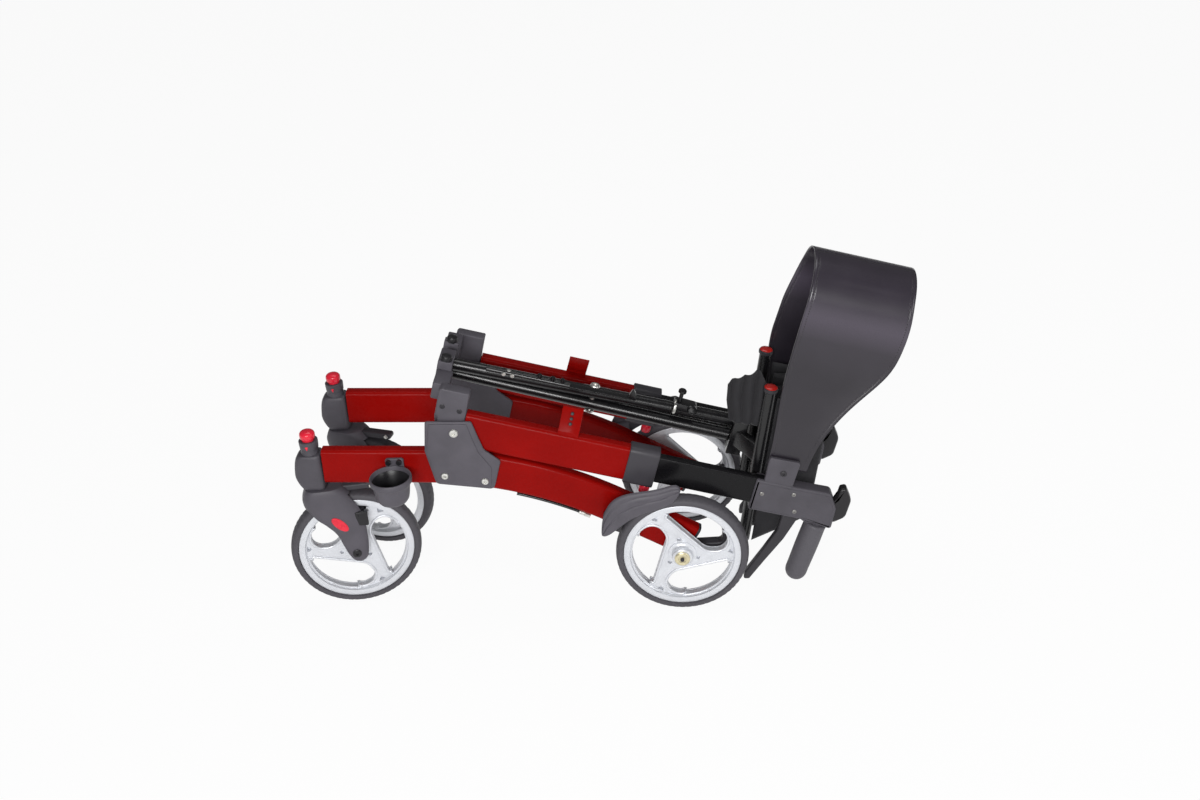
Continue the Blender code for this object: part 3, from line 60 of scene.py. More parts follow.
GAP = 0.0003
WHEEL_R = 0.100
TYRE_HALF = 0.0128
RIM_SEAT_R = 0.088
SWIRL_R = 0.0760
AXLE_R = 0.006
FRONT_HUB = (0.0155, 0.0155)
REAR_HUB = (0.0135, 0.0185)
FRAME_Y = 0.089
REAR_WHEEL_Y = 0.1145
TUBE_H = 0.057
TUBE_T = 0.022
TUBE_WALL = 0.0022
TUBE_INNER_Y = FRAME_Y - TUBE_T / 2 - GAP
TUBE_OUTER_Y = FRAME_Y + TUBE_T / 2 + GAP
COVER_INNER_Y = FRAME_Y - 0.017 - GAP
COVER_OUTER_Y = FRAME_Y + 0.017 + GAP
COVER_BOLTS = ((-0.347, 0.239), (-0.288, 0.228))
INNER_H = 0.046
INNER_T = 0.015
CASTER_X = -0.548
CASTER_TRAIL = 0.044
TOE_IN = math.radians(12.7)
NOSE_X = -0.530
TAIL_X = 0.012
NOSE_Z = 0.2545
BEND_X = -0.380
BEND_R = 0.600
BEND_FROM = math.radians(1.8)
BEND_TO = math.radians(30.3)
FOLD = (-0.326, 0.312)
FOLD_PIN_R = 0.005
TILT = math.radians(15.6)
UPRIGHT_N = 0.216
UPRIGHT_FRONT_U = -0.385
COLLAR_FRONT_U = -0.141
COLLAR_REAR_U = -0.096
HANDLE_END_U = 0.098
ARM_FRONT_U = -0.432
ARM_LENGTH = 0.450
ARM_PIVOT_Y = 0.006
ARM_REAR_U = ARM_FRONT_U + math.sqrt(ARM_LENGTH**2 - 4 * ARM_PIVOT_Y**2)
ARM_R = 0.0095
ARM_N = {"upper": 0.2695, "lower": 0.2495}
ARM_EYE_H = 0.0125
BRACE_PIN_R = 0.005
CENTRE_PIN_R = 0.004
TAB_T = 0.006
ARM_MID_N = (ARM_N["upper"] + ARM_N["lower"]) / 2
PIVOT_TOP_N = ARM_N["upper"] + ARM_EYE_H + GAP + TAB_T
PIVOT_LOW_N = ARM_N["lower"] - ARM_EYE_H - GAP - TAB_T
RAIL_TOP = np.array((0.136, 0.349))
RAIL_BOTTOM = np.array((0.094, 0.084))
RAIL_LENGTH = float(np.linalg.norm(RAIL_TOP - RAIL_BOTTOM))
RAIL_WAY = (RAIL_TOP - RAIL_BOTTOM) / RAIL_LENGTH
RAIL_Y = 0.060
RAIL_R = 0.009
CAP_TOP_Z = 0.298
BUTTON_POCKET = 0.0082
CABLE_Y = FRAME_Y + 0.0060
BRAKE_PIVOT = (-0.094, 0.1705)
LEVER_PIVOT = (0.163, 0.153)
LEVER_PIN_R = 0.0025
GRIP_TOP = (0.206, 0.147)
GRIP_END = (0.170, 0.036)
GRIP_LENGTH = 0.122
GRIP_CORE_R = 0.011
HANDLE_SCREWS = ((0.120, 0.191), (0.167, 0.188), (0.168, 0.158))
BELT_LOW_N = 0.262
BELT_ROUND_N = 0.505
BELT_ROUND_R = 0.064
SEAT_PANELS = 6
SEAT_PANEL_W = 0.084
SEAT_T = 0.0016
SEAT_FOLD_GAP = 0.0010
SEAT_LAP = 0.0010  # share of a pleat that runs past its fold line, so that the open seat shows no slit
X_AXIS, Y_AXIS, Z_AXIS = np.eye(3)
U_AXIS = np.array((math.cos(TILT), 0, -math.sin(TILT)))
N_AXIS = np.array((math.sin(TILT), 0, math.cos(TILT)))

# The axes of an outline's two directions and of its thickness, for a pillow

SIDE_VIEW = (X_AXIS, Z_AXIS, Y_AXIS)
BRACE_SIDE_VIEW = (U_AXIS, N_AXIS, Y_AXIS)
BRACE_TOP_VIEW = (U_AXIS, Y_AXIS, N_AXIS)
BRACE_END_VIEW = (Y_AXIS, N_AXIS, U_AXIS)


# Sizes and colours a user would change


def distance(name, description, default, low, high):
    """A length in metres that a user can set."""
    return FloatProperty(
        name=name, description=description, default=default, min=low, max=high, subtype="DISTANCE", unit="LENGTH"
    )


class RollatorSizes(bpy.types.PropertyGroup):
    edge: distance(
        "Moulded edge radius", "Rounding along the edges of the moulded castings", 0.0022, 0.0005, 0.005
    )
    tread_depth: distance("Tread depth", "Depth of the sipes cut across the tyre's shoulders", 0.0007, 0.0, 0.002)
    tread_count: IntProperty(
        name="Tread sipes", description="Number of sipes round one tyre", default=60, min=12, max=90
    )
    cable_radius: distance("Cable radius", "Radius of the brake cable's outer sheath", 0.0022, 0.0015, 0.003)
    stitch_pitch: distance(
        "Stitch pitch", "Distance from one stitch to the next along the belt's hem", 0.004, 0.002, 0.008
    )


def linear(code):
    """Turns an sRGB hex value to linear red, green and blue."""
    parts = [int(code[i : i + 2], 16) / 255 for i in (0, 2, 4)]
    return tuple(c / 12.92 if c <= 0.04045 else ((c + 0.055) / 1.055) ** 2.4 for c in parts)


def colour(name, description, code):
    """A colour that a user can set, its default an sRGB hex value."""
    return FloatVectorProperty(
        name=name, description=description, default=linear(code), size=3, min=0.0, max=1.0, subtype="COLOR"
    )


class RollatorColours(bpy.types.PropertyGroup):
    frame_red: colour("Frame red", "Powder coat on the side tubes and uprights", "870A07")
    gloss_black: colour("Gloss black", "Coating of the handle tubes, brace and rails", "1E1D20")
    charcoal: colour("Charcoal", "Moulded castings, covers and forks", "524F56")
    signal_red: colour("Signal red", "Buttons, knobs and inlays", "DB2238")
    silver: colour("Silver", "Lacquer of the wheel centres", "D7D9DE")
    tyre: colour("Tyre", "Thermoplastic rubber of the tyres", "4A484D")
    belt: colour("Belt", "Coated fabric of the backrest belt", "302B34")


# Surfaces: each function gives (points, faces), the points as one array


def grid_faces(rows, columns, rows_closed, columns_closed=True):
    """Quads of a grid of points numbered row by row, from the four neighbours' numbers."""
    r = np.arange(rows if rows_closed else rows - 1)[:, None]
    c = np.arange(columns if columns_closed else columns - 1)[None, :]
    right = (c + 1) % columns
    below = (r + 1) % rows
    quads = np.stack((r * columns + c, r * columns + right, below * columns + right, below * columns + c), -1)
    return quads.reshape(-1, 4).tolist()


def grid(points, rows_closed=False, columns_closed=True, capped=True):
    """A surface from points[row, column, xyz], with its first and last rows closed by a flat face each."""
    rows, columns = points.shape[:2]
    faces = grid_faces(rows, columns, rows_closed, columns_closed)
    if capped and not rows_closed:
        faces.append(list(range(columns)))
        faces.append(list(range((rows - 1) * columns, rows * columns)))
    return points.reshape(-1, 3), faces


def together(shapes):
    """Several surfaces as one, each one's faces counted on from the last."""
    points, faces, start = [], [], 0
    for some, theirs in shapes:
        points.append(some)
        faces += [[i + start for i in face] for face in theirs]
        start += len(some)
    return np.concatenate(points), faces


def arc(radius, degrees):
    """Flat points at a radius and at each of some angles: r (cos a, sin a)."""
    angles = np.radians(degrees)
    return radius * np.stack((np.cos(angles), np.sin(angles)), -1)


def rounded(corners, steps):
    """An outline from (a, b, radius) corners: each corner becomes a circle arc that touches both its sides."""
    corners = np.array(corners, float)
    found = []
    for index, (a, b, radius) in enumerate(corners):
        here = np.array((a, b))
        before = corners[index - 1, :2] - here
        after = corners[(index + 1) % len(corners), :2] - here
        before /= np.linalg.norm(before)
        after /= np.linalg.norm(after)
        half = math.acos(np.clip(before @ after, -1, 1)) / 2
        if radius <= 0 or half > math.radians(85):
            found.append(here[None])
            continue
        middle = here + (before + after) / np.linalg.norm(before + after) * radius / math.sin(half)
        start = here + before * radius / math.tan(half) - middle
        end = here + after * radius / math.tan(half) - middle
        turn = math.atan2(start[0] * end[1] - start[1] * end[0], start @ end)
        angles = np.arange(steps + 1) / steps * turn
        cos, sin = np.cos(angles), np.sin(angles)
        found.append(middle + np.stack((start[0] * cos - start[1] * sin, start[0] * sin + start[1] * cos), -1))
    return np.concatenate(found)


def inward(outline, depth):
    """The outline drawn in by a depth, each point along the half-way line between its two sides' normals."""
    ahead = np.roll(outline, -1, 0) - outline
    ahead /= np.linalg.norm(ahead, axis=1, keepdims=True) + 1e-12
    behind = np.roll(ahead, 1, 0)
    normals = np.stack((-ahead[:, 1] - behind[:, 1], ahead[:, 0] + behind[:, 0]), -1)
    size = np.linalg.norm(normals, axis=1, keepdims=True) + 1e-9
    around = np.roll(outline, -1, 0)
    area = np.sum(outline[:, 0] * around[:, 1] - outline[:, 1] * around[:, 0])
    reach = depth * np.minimum(2 / size, 1.6) * (1 if area > 0 else -1)
    return outline + normals / size * reach


def pillow(outline, low, high, edge, steps=3, origin=(0, 0, 0), axes=SIDE_VIEW):
    """An outline given thickness from low to high, its edges a quarter circle: drawn in by
    edge (1 - sin t) while it rises by edge (1 - cos t), t from 0 to 90 degrees, on both faces."""
    t = np.linspace(0, math.pi / 2, steps + 1)
    insets = edge * (1 - np.sin(t))
    rises = edge * (1 - np.cos(t)) * np.sign(high - low)
    rows = [(inset, low + rise) for inset, rise in zip(insets, rises)]
    rows += [(inset, high - rise) for inset, rise in zip(insets[::-1], rises[::-1])]
    first, second, third = axes
    points = []
    for inset, level in rows:
        flat = inward(outline, inset) if inset > 1e-9 else outline
        points.append(np.array(origin) + flat[:, :1] * first + flat[:, 1:] * second + level * third)
    return grid(np.array(points))


def turned(profile, origin, axis, steps=48, shape=None):
    """A profile of (radius, height) turned about an axis: origin + h axis + r (cos a, sin a) across it.
    shape multiplies each radius, row by column. A row of radius 0 closes the end."""
    profile = np.array(profile, float)
    axis = np.array(axis, float) / np.linalg.norm(axis)
    first = np.cross(axis, Y_AXIS if abs(axis[1]) < 0.9 else X_AXIS)
    first /= np.linalg.norm(first)
    second = np.cross(axis, first)
    angle = np.arange(steps) / steps * 2 * math.pi
    ring = np.cos(angle)[:, None] * first + np.sin(angle)[:, None] * second
    radius = np.maximum(profile[:, :1], 1e-5) * (np.ones((1, steps)) if shape is None else shape)
    points = np.array(origin) + profile[:, 1][:, None, None] * axis + radius[..., None] * ring
    return grid(points)


def ring_turned(profile, origin, axis, steps, shape=None):
    """A closed profile turned about an axis, so that both ways round it meets itself."""
    points = turned(profile, origin, axis, steps, shape)[0]
    return points, grid_faces(len(profile), steps, rows_closed=True)


def rod(start, end, radius, steps=24, edge=0.0006):
    """A round bar between two points, its two rims eased by a small edge."""
    start, end = np.array(start, float), np.array(end, float)
    length = float(np.linalg.norm(end - start))
    edge = min(edge, radius * 0.4, length * 0.4)
    far = length - edge
    profile = [(0, 0), (radius - edge, 0), (radius, edge), (radius, far), (radius - edge, length), (0, length)]
    return turned(profile, start, end - start, steps)


def cross_rod(place, y0, y1, *sizes):
    """A rod along Y at a place of the side view."""
    return rod((place[0], y0, place[1]), (place[0], y1, place[1]), *sizes)


def brace_rod(u, y, n0, n1, *sizes):
    """A rod square to the folded uprights."""
    return rod(un3(u, y, n0), un3(u, y, n1), *sizes)


def oval(height, thickness, grow=0.0):
    """The section of a flat oval tube: first across its height, second across its thickness."""
    h, t = height / 2 + grow, thickness / 2 + grow
    r = t * 0.62
    return rounded([(-h, -t, r), (h, -t, r), (h, t, r), (-h, t, r)], 7)


def along_line(line, slopes, section, y):
    """A section carried along a side-view line: point = line + a (sin s, cos s) across the slope + b along Y."""
    up = np.stack((np.sin(slopes), np.cos(slopes)), -1)
    flat = line[:, None, :] + section[None, :, :1] * up[:, None, :]
    across = np.broadcast_to(y + section[None, :, 1], flat.shape[:2])
    return np.stack((flat[..., 0], across, flat[..., 1]), -1)


def tube(line, slopes, outer, y, inner=None):
    """A tube carried along a line. With an inner section it is hollow: out along the outside, back along the bore."""
    points = along_line(line, slopes, outer, y)
    if inner is None:
        return grid(points)
    bore = along_line(line, slopes, inner, y)[::-1]
    return grid(np.concatenate((points, bore)), rows_closed=True)


def frame_tube(line, slopes, y):
    """The frame's hollow flat oval tube carried along a line."""
    return tube(line, slopes, oval(TUBE_H, TUBE_T), y, oval(TUBE_H, TUBE_T, -TUBE_WALL))


def un(u, n):
    """Side-view X and Z of a place given along (u) and square to (n) the folded uprights."""
    c, s = math.cos(TILT), math.sin(TILT)
    return np.stack((c * np.asarray(u) + s * np.asarray(n), -s * np.asarray(u) + c * np.asarray(n)), -1)


def un3(u, y, n):
    """The point in space of a place along the uprights, across the frame and square to the uprights."""
    x, z = un(float(u), float(n))
    return np.array((x, y, z))


def to_un(place):
    """The place along and square to the uprights of a side-view X and Z."""
    c, s = math.cos(TILT), math.sin(TILT)
    return c * place[0] - s * place[1], s * place[0] + c * place[1]


def straight(u0, u1, count=2):
    """The line and slopes of a stretch of the folded upright."""
    u = np.linspace(u0, u1, count)
    return un(u, np.full(count, UPRIGHT_N)), np.full(count, TILT)


def side_line(x, drop=0.0):
    """The side tube's centre line, or a line a distance below it: a straight nose, a circle arc and a straight
    tail. Height falls by R (cos a0 - cos a), where sin a grows evenly with x. Gives the line and its slopes."""
    reach = (x - BEND_X) / BEND_R + math.sin(BEND_FROM)
    a = np.arcsin(np.clip(reach, math.sin(BEND_FROM), math.sin(BEND_TO)))
    tail = BEND_X + BEND_R * (math.sin(BEND_TO) - math.sin(BEND_FROM))
    z = NOSE_Z - math.tan(BEND_FROM) * (np.minimum(x, BEND_X) - NOSE_X)
    z = z - BEND_R * (math.cos(BEND_FROM) - np.cos(a)) - math.tan(BEND_TO) * np.maximum(x - tail, 0)
    return np.stack((x - drop * np.sin(a), z - drop * np.cos(a)), -1), a


def bolt(at, axis, radius, height):
    """A domed screw head with a hexagon socket: its inner rows' radius is r / cos(a mod 60 - 30 degrees)."""
    steps = 24
    hexagon = 0.9 / np.cos(np.radians(np.arange(steps) / steps * 360 % 60 - 30))
    rows = [
        (0, -0.001), (radius, -0.001), (radius, height * 0.35), (radius * 0.86, height * 0.8), (radius * 0.55, height),
        (radius * 0.42, height), (radius * 0.42, height * 0.25), (0, height * 0.25),
    ]
    shape = np.ones((len(rows), steps))
    shape[5:7] = hexagon
    return turned(rows, at, axis, steps, shape)


def moved_wheel(shape, at, yaw, mirror=False):
    """From wheel space, its axis along Y, to the frame: flip Y if mirrored, turn by yaw about Z, shift."""
    points, faces = shape
    points = points * np.array((1, -1 if mirror else 1, 1))
    c, s = math.cos(yaw), math.sin(yaw)
    turn = np.array(((c, s, 0), (-s, c, 0), (0, 0, 1)))
    return points @ turn + np.array(at), faces


def limb(rungs, count, middle_y=0.0, power=3.2):
    """A limb laid over rungs (front x, z, rear x, z, half depth): each row is a superellipse about the rung's
    middle, half the rung wide. The rungs are joined by parabolas through three at a time."""
    rungs = np.array(rungs)
    t = np.linspace(0, len(rungs) - 1, count)
    k = np.clip(np.round(t).astype(int), 1, len(rungs) - 2)
    f = (t - k)[:, None]
    before, here, after = rungs[k - 1], rungs[k], rungs[k + 1]
    rows = here + f * (after - before) / 2 + f**2 * (before - 2 * here + after) / 2
    rows[1:-1] = (rows[:-2] + rows[1:-1] * 2 + rows[2:]) / 4
    angle = np.arange(48) / 48 * 2 * math.pi
    along = np.sign(np.cos(angle)) * np.abs(np.cos(angle)) ** (2 / power)
    deep = np.sign(np.sin(angle)) * np.abs(np.sin(angle)) ** (2 / power)
    middle, half = (rows[:, :2] + rows[:, 2:4]) / 2, (rows[:, 2:4] - rows[:, :2]) / 2
    flat = middle[:, None, :] + half[:, None, :] * along[None, :, None]
    return grid(np.stack((flat[..., 0], middle_y + rows[:, 4:5] * deep[None, :], flat[..., 1]), -1))


# Objects


def linked(name, data):
    """A new object, put in the scene."""
    obj = bpy.data.objects.new(name, data)
    bpy.context.scene.collection.objects.link(obj)
    return obj


def mesh_from(name, shape, uv=None):
    """A mesh of a surface. A closed one is merged and its faces turned outward, an open one gets its cut map."""
    points, faces = shape
    mesh = bpy.data.meshes.new(name)
    mesh.from_pydata(points.tolist(), [], faces)
    if uv is None:
        bm = bmesh.new()
        bm.from_mesh(mesh)
        bmesh.ops.remove_doubles(bm, verts=bm.verts, dist=0.000003)
        bmesh.ops.recalc_face_normals(bm, faces=bm.faces)
        bm.to_mesh(mesh)
        bm.free()
    else:
        layer = mesh.uv_layers.new(name="cut")
        corners = np.empty(len(mesh.loops), np.int32)
        mesh.loops.foreach_get("vertex_index", corners)
        layer.data.foreach_set("uv", uv.reshape(-1, 2)[corners].ravel().astype(np.float32))
    return mesh


def shown(obj, finish, rides, stands_for, sharp):
    """Gives an object its finish and its body, and hides the CAD node that it stands for, if any."""
    material, usual_slot = FINISH[finish]
    obj.data.materials.clear()
    obj.data.materials.append(material)
    obj.data.shade_smooth()
    obj.data.set_sharp_from_angle(angle=math.radians(sharp))
    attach(obj, rides)
    if stands_for:
        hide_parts(stands_for)
    return obj


def piece(name, shapes, finish, rides, stands_for=None, sharp=38, uv=None):
    """A visible piece: one mesh at the origin, made of one surface or a list of them."""
    points, faces = shapes if isinstance(shapes, tuple) else together(shapes)
    obj = linked(name, mesh_from(name, (points + SHIFT, faces), uv))
    return shown(obj, finish, rides, stands_for, sharp)


def cloth(name, points, finish, rides, stands_for, uv, thickness):
    """A piece of cloth from a grid of points, given its thickness evenly to both sides by a Solidify."""
    sheet = grid(points, columns_closed=False, capped=False)
    obj = piece(name, sheet, finish, rides, stands_for, 60, uv=uv)
    thick = obj.modifiers.new("cloth", "SOLIDIFY")
    thick.thickness = thickness
    thick.offset = 0.0
    return obj


def ease_edges(obj, width, sharp):
    """Rounds every edge sharper than an angle by a Bevel."""
    modifier = obj.modifiers.new("ease", "BEVEL")
    modifier.width = width
    modifier.segments = 2
    modifier.limit_method = "ANGLE"
    modifier.angle_limit = math.radians(sharp)
    return modifier


def cut(base, cutters, edge=0.0):
    """The base with the cutters taken out by Booleans, its new edges eased by a Bevel."""
    made = [linked("work", mesh_from("work", shape)) for shape in (base, *cutters)]
    for other in made[1:]:
        modifier = made[0].modifiers.new("cut", "BOOLEAN")
        modifier.operation = "DIFFERENCE"
        modifier.solver = "MANIFOLD"
        modifier.object = other
    if edge:
        ease_edges(made[0], edge, 40)
    bpy.context.view_layer.update()
    result = made[0].evaluated_get(bpy.context.evaluated_depsgraph_get())
    mesh = result.to_mesh()
    points = np.empty(len(mesh.vertices) * 3, np.float32)
    mesh.vertices.foreach_get("co", points)
    faces = [list(polygon.vertices) for polygon in mesh.polygons]
    result.to_mesh_clear()
    for obj in made:
        bpy.data.objects.remove(obj, do_unlink=True)
    return points.reshape(-1, 3).astype(float), faces


# Materials


RGB = {"data_type": "RGBA", "out": 2}  # for a Mix node that mixes colours i6 and i7


def feed(tree, socket, value):
    """Links another node's output to a socket, or sets its number or colour, or leaves it alone for None."""
    if isinstance(value, bpy.types.NodeSocket):
        tree.links.new(value, socket)
    elif value is not None:
        socket.default_value = value


def add(tree, kind, *values, out=0, **settings):
    """Adds one shader node and gives one of its outputs. The values feed its inputs in their order. The settings
    are its properties, or feed inputs given by number, as i6, or by name, with _ for a space."""
    made = tree.nodes.new("ShaderNode" + kind)
    inputs = dict(enumerate(values))
    for key, value in settings.items():
        if hasattr(made, key):
            setattr(made, key, value)
        else:
            inputs[int(key[1:]) if key[1:].isdigit() else key.replace("_", " ")] = value
    for key, value in inputs.items():
        feed(tree, made.inputs[key], value)
    return made.outputs[out]


def shade(base, factor):
    """A colour made darker or lighter, as a socket takes it."""
    return tuple(min(c * factor, 1.0) for c in base) + (1.0,)


def tinted(base, factor):
    """A base colour multiplied by a factor, as a material's builder takes it."""
    return tuple(c * factor for c in base)


def start(name):
    """A new material, its node tree, and the place of each point in metres from the object's origin."""
    made = bpy.data.materials.new(name)
    made.use_nodes = True
    return made, made.node_tree, add(made.node_tree, "TexCoord", out="Object")


def finished(made, tone, rough, normal, **fixed):
    """Feeds a material's shader its colour, roughness and normal, and sets its own sockets, with _ for a space."""
    shader = made.node_tree.nodes["Principled BSDF"]
    for name, value in (("Base Color", tone), ("Roughness", rough), ("Normal", normal), *fixed.items()):
        feed(made.node_tree, shader.inputs[name.replace("_", " ")], value)
    return made


def powder_coat(name, base, coat=0.02, shine=0.05, peel=0.05):
    """Polyester powder baked on aluminium tube: deep even colour under a gloss skin with a faint 2.4 mm orange
    peel, drawn a little coarser than real so that it shows, and light scuffs that dull the gloss in places."""
    made, tree, where = start(name)
    drift = add(tree, "TexNoise", where, None, 1000 / 70, 3.0, 0.55)
    scuff = add(tree, "TexNoise", where, None, 1000 / 14, 6.0, 0.7)
    ripple = add(tree, "TexNoise", where, None, 1000 / 2.4, 1.0, 0.55)
    tone = add(
        tree, "Mix", add(tree, "MapRange", drift, 0.3, 0.7), i6=shade(base, 0.90), i7=shade(base, 1.10), **RGB
    )
    rough = add(tree, "MapRange", scuff, 0.35, 0.75, 0.22, 0.38)
    normal = add(tree, "Bump", Height=ripple, Strength=peel, Distance=0.0002)
    return finished(made, tone, rough, normal, Specular_IOR_Level=shine, Coat_Weight=coat, Coat_Roughness=0.12)


def moulded_nylon(name, base, rough=0.50):
    """Glass-filled nylon moulded in a spark-eroded tool: dull charcoal with a 0.8 mm pebble grain, faint cloudy
    flow marks some 30 mm across, and a slight shine where hands rub it."""
    made, tree, where = start(name)
    cloud = add(tree, "TexNoise", where, None, 1000 / 32, 4.0, 0.55)
    grain = add(tree, "TexVoronoi", where, None, 1000 / 0.8, feature="SMOOTH_F1")
    flow = add(tree, "MapRange", cloud, 0.32, 0.68)
    pits = add(tree, "MapRange", grain, 0.1, 0.8, 0.0, 0.22)
    tone = add(tree, "Mix", flow, i6=shade(base, 0.88), i7=shade(base, 1.12), **RGB)
    flecked = add(tree, "Mix", pits, i6=tone, i7=shade(base, 0.62), **RGB)
    dull = add(tree, "MapRange", cloud, 0.3, 0.7, rough - 0.06, rough + 0.08)
    normal = add(tree, "Bump", Height=grain, Strength=0.28, Distance=0.00025)
    return finished(made, flecked, dull, normal, Specular_IOR_Level=0.35)


def glossy_plastic(name, base):
    """ABS moulded in a polished tool: saturated colour, a clear hard shine, and flow marks barely seen."""
    made, tree, where = start(name)
    flow = add(tree, "TexNoise", where, None, 1000 / 9, 2.0, 0.55)
    share = add(tree, "MapRange", flow, 0.3, 0.7)
    tone = add(tree, "Mix", share, i6=shade(base, 0.90), i7=shade(base, 1.08), **RGB)
    rough = add(tree, "MapRange", flow, 0.3, 0.7, 0.24, 0.32)
    normal = add(tree, "Bump", Height=flow, Strength=0.08, Distance=0.0002)
    return finished(made, tone, rough, normal, Specular_IOR_Level=0.4, Coat_Weight=0.15)


def silver_lacquer(name, base):
    """Nylon sprayed with silver lacquer: pale satin metal look, with 0.5 mm flakes, drawn at 0.9 mm so that they
    show, which sparkle unevenly, and cloudy dust."""
    made, tree, where = start(name)
    cells = add(tree, "TexVoronoi", where, None, 1000 / 0.9, out="Color")
    flake = add(tree, "SeparateColor", cells, out="Red")
    cloud = add(tree, "TexNoise", where, None, 1000 / 25, 3.0, 0.55)
    dust = add(tree, "MapRange", cloud, 0.45, 0.75, 0.0, 0.25)
    grey = add(tree, "Mix", flake, i6=shade(base, 0.93), i7=shade(base, 1.05), **RGB)
    dusty = add(tree, "Mix", dust, i6=grey, i7=shade(base, 0.80), **RGB)
    rough = add(tree, "MapRange", flake, 0, 1, 0.30, 0.42)
    normal = add(tree, "Bump", Height=flake, Strength=0.05, Distance=0.0001)
    return finished(made, dusty, rough, normal, Metallic=0.35, Coat_Weight=0.35, Coat_Roughness=0.15)


def moulded_rubber(name, base, grain_mm=1.0, rough=0.62, dust=0.25):
    """Thermoplastic rubber from a sanded mould: near-black grey, soft shine, fine grain, paler where dust and
    floor wear have greyed it."""
    made, tree, where = start(name)
    grain = add(tree, "TexNoise", where, None, 1000 / grain_mm, 2.0, 0.55)
    worn = add(tree, "TexNoise", where, None, 1000 / 18, 5.0, 0.65)
    fine = add(tree, "MapRange", grain, 0.3, 0.7)
    wear = add(tree, "MapRange", worn, 0.5, 0.8, 0.0, dust)
    tone = add(tree, "Mix", fine, i6=shade(base, 0.84), i7=shade(base, 1.12), **RGB)
    greyed = add(tree, "Mix", wear, i6=tone, i7=shade(base, 1.9), **RGB)
    dull = add(tree, "MapRange", worn, 0.3, 0.7, rough - 0.10, rough + 0.08)
    normal = add(tree, "Bump", Height=grain, Strength=0.22, Distance=0.0003)
    return finished(made, greyed, dull, normal, Specular_IOR_Level=0.35)


def zinc_plate(name, base, rough=0.34):
    """Steel with a passivated zinc skin: bright warm-grey metal in 3 mm crystal patches of uneven shine."""
    made, tree, where = start(name)
    cells = add(tree, "TexVoronoi", where, None, 1000 / 3.0, out="Color")
    patch = add(tree, "SeparateColor", cells, out="Green")
    fine = add(tree, "TexNoise", where, None, 1000 / 0.6, 3.0, 0.55)
    tone = add(tree, "Mix", patch, i6=shade(base, 0.86), i7=shade(base, 1.10), **RGB)
    dull = add(tree, "MapRange", patch, 0, 1, rough - 0.06, rough + 0.10)
    normal = add(tree, "Bump", Height=fine, Strength=0.08, Distance=0.0001)
    return finished(made, tone, dull, normal, Metallic=0.9)


def woven_polyester(name, base):
    """Plain-woven 600 denier polyester: black yarns about 0.5 mm apart, drawn at 1.6 mm so that the weave shows.
    Warp and weft stand up by turns, and dust lies in the folds."""
    made, tree = start(name)[:2]
    cut_map = add(tree, "UVMap", uv_map="cut")
    turns = 2 * math.pi / 0.0032
    yarns = [
        add(
            tree, "Math",
            add(tree, "Math", add(tree, "SeparateXYZ", cut_map, out=way), turns, operation="MULTIPLY"),
            operation="SINE",
        )
        for way in ("X", "Y")
    ]
    height = add(tree, "MapRange", add(tree, "Math", *yarns, operation="MULTIPLY"), -1, 1)
    dust = add(tree, "MapRange", add(tree, "TexNoise", cut_map, None, 1000 / 22, 4.0, 0.55), 0.45, 0.8, 0, 0.3)
    tone = add(tree, "Mix", height, i6=shade(base, 0.65), i7=shade(base, 1.35), **RGB)
    dusty = add(tree, "Mix", dust, i6=tone, i7=shade(base, 2.2), **RGB)
    normal = add(tree, "Bump", Height=height, Strength=0.5, Distance=0.0003)
    return finished(made, dusty, 0.78, normal, Sheen_Weight=0.10, Sheen_Roughness=0.5)


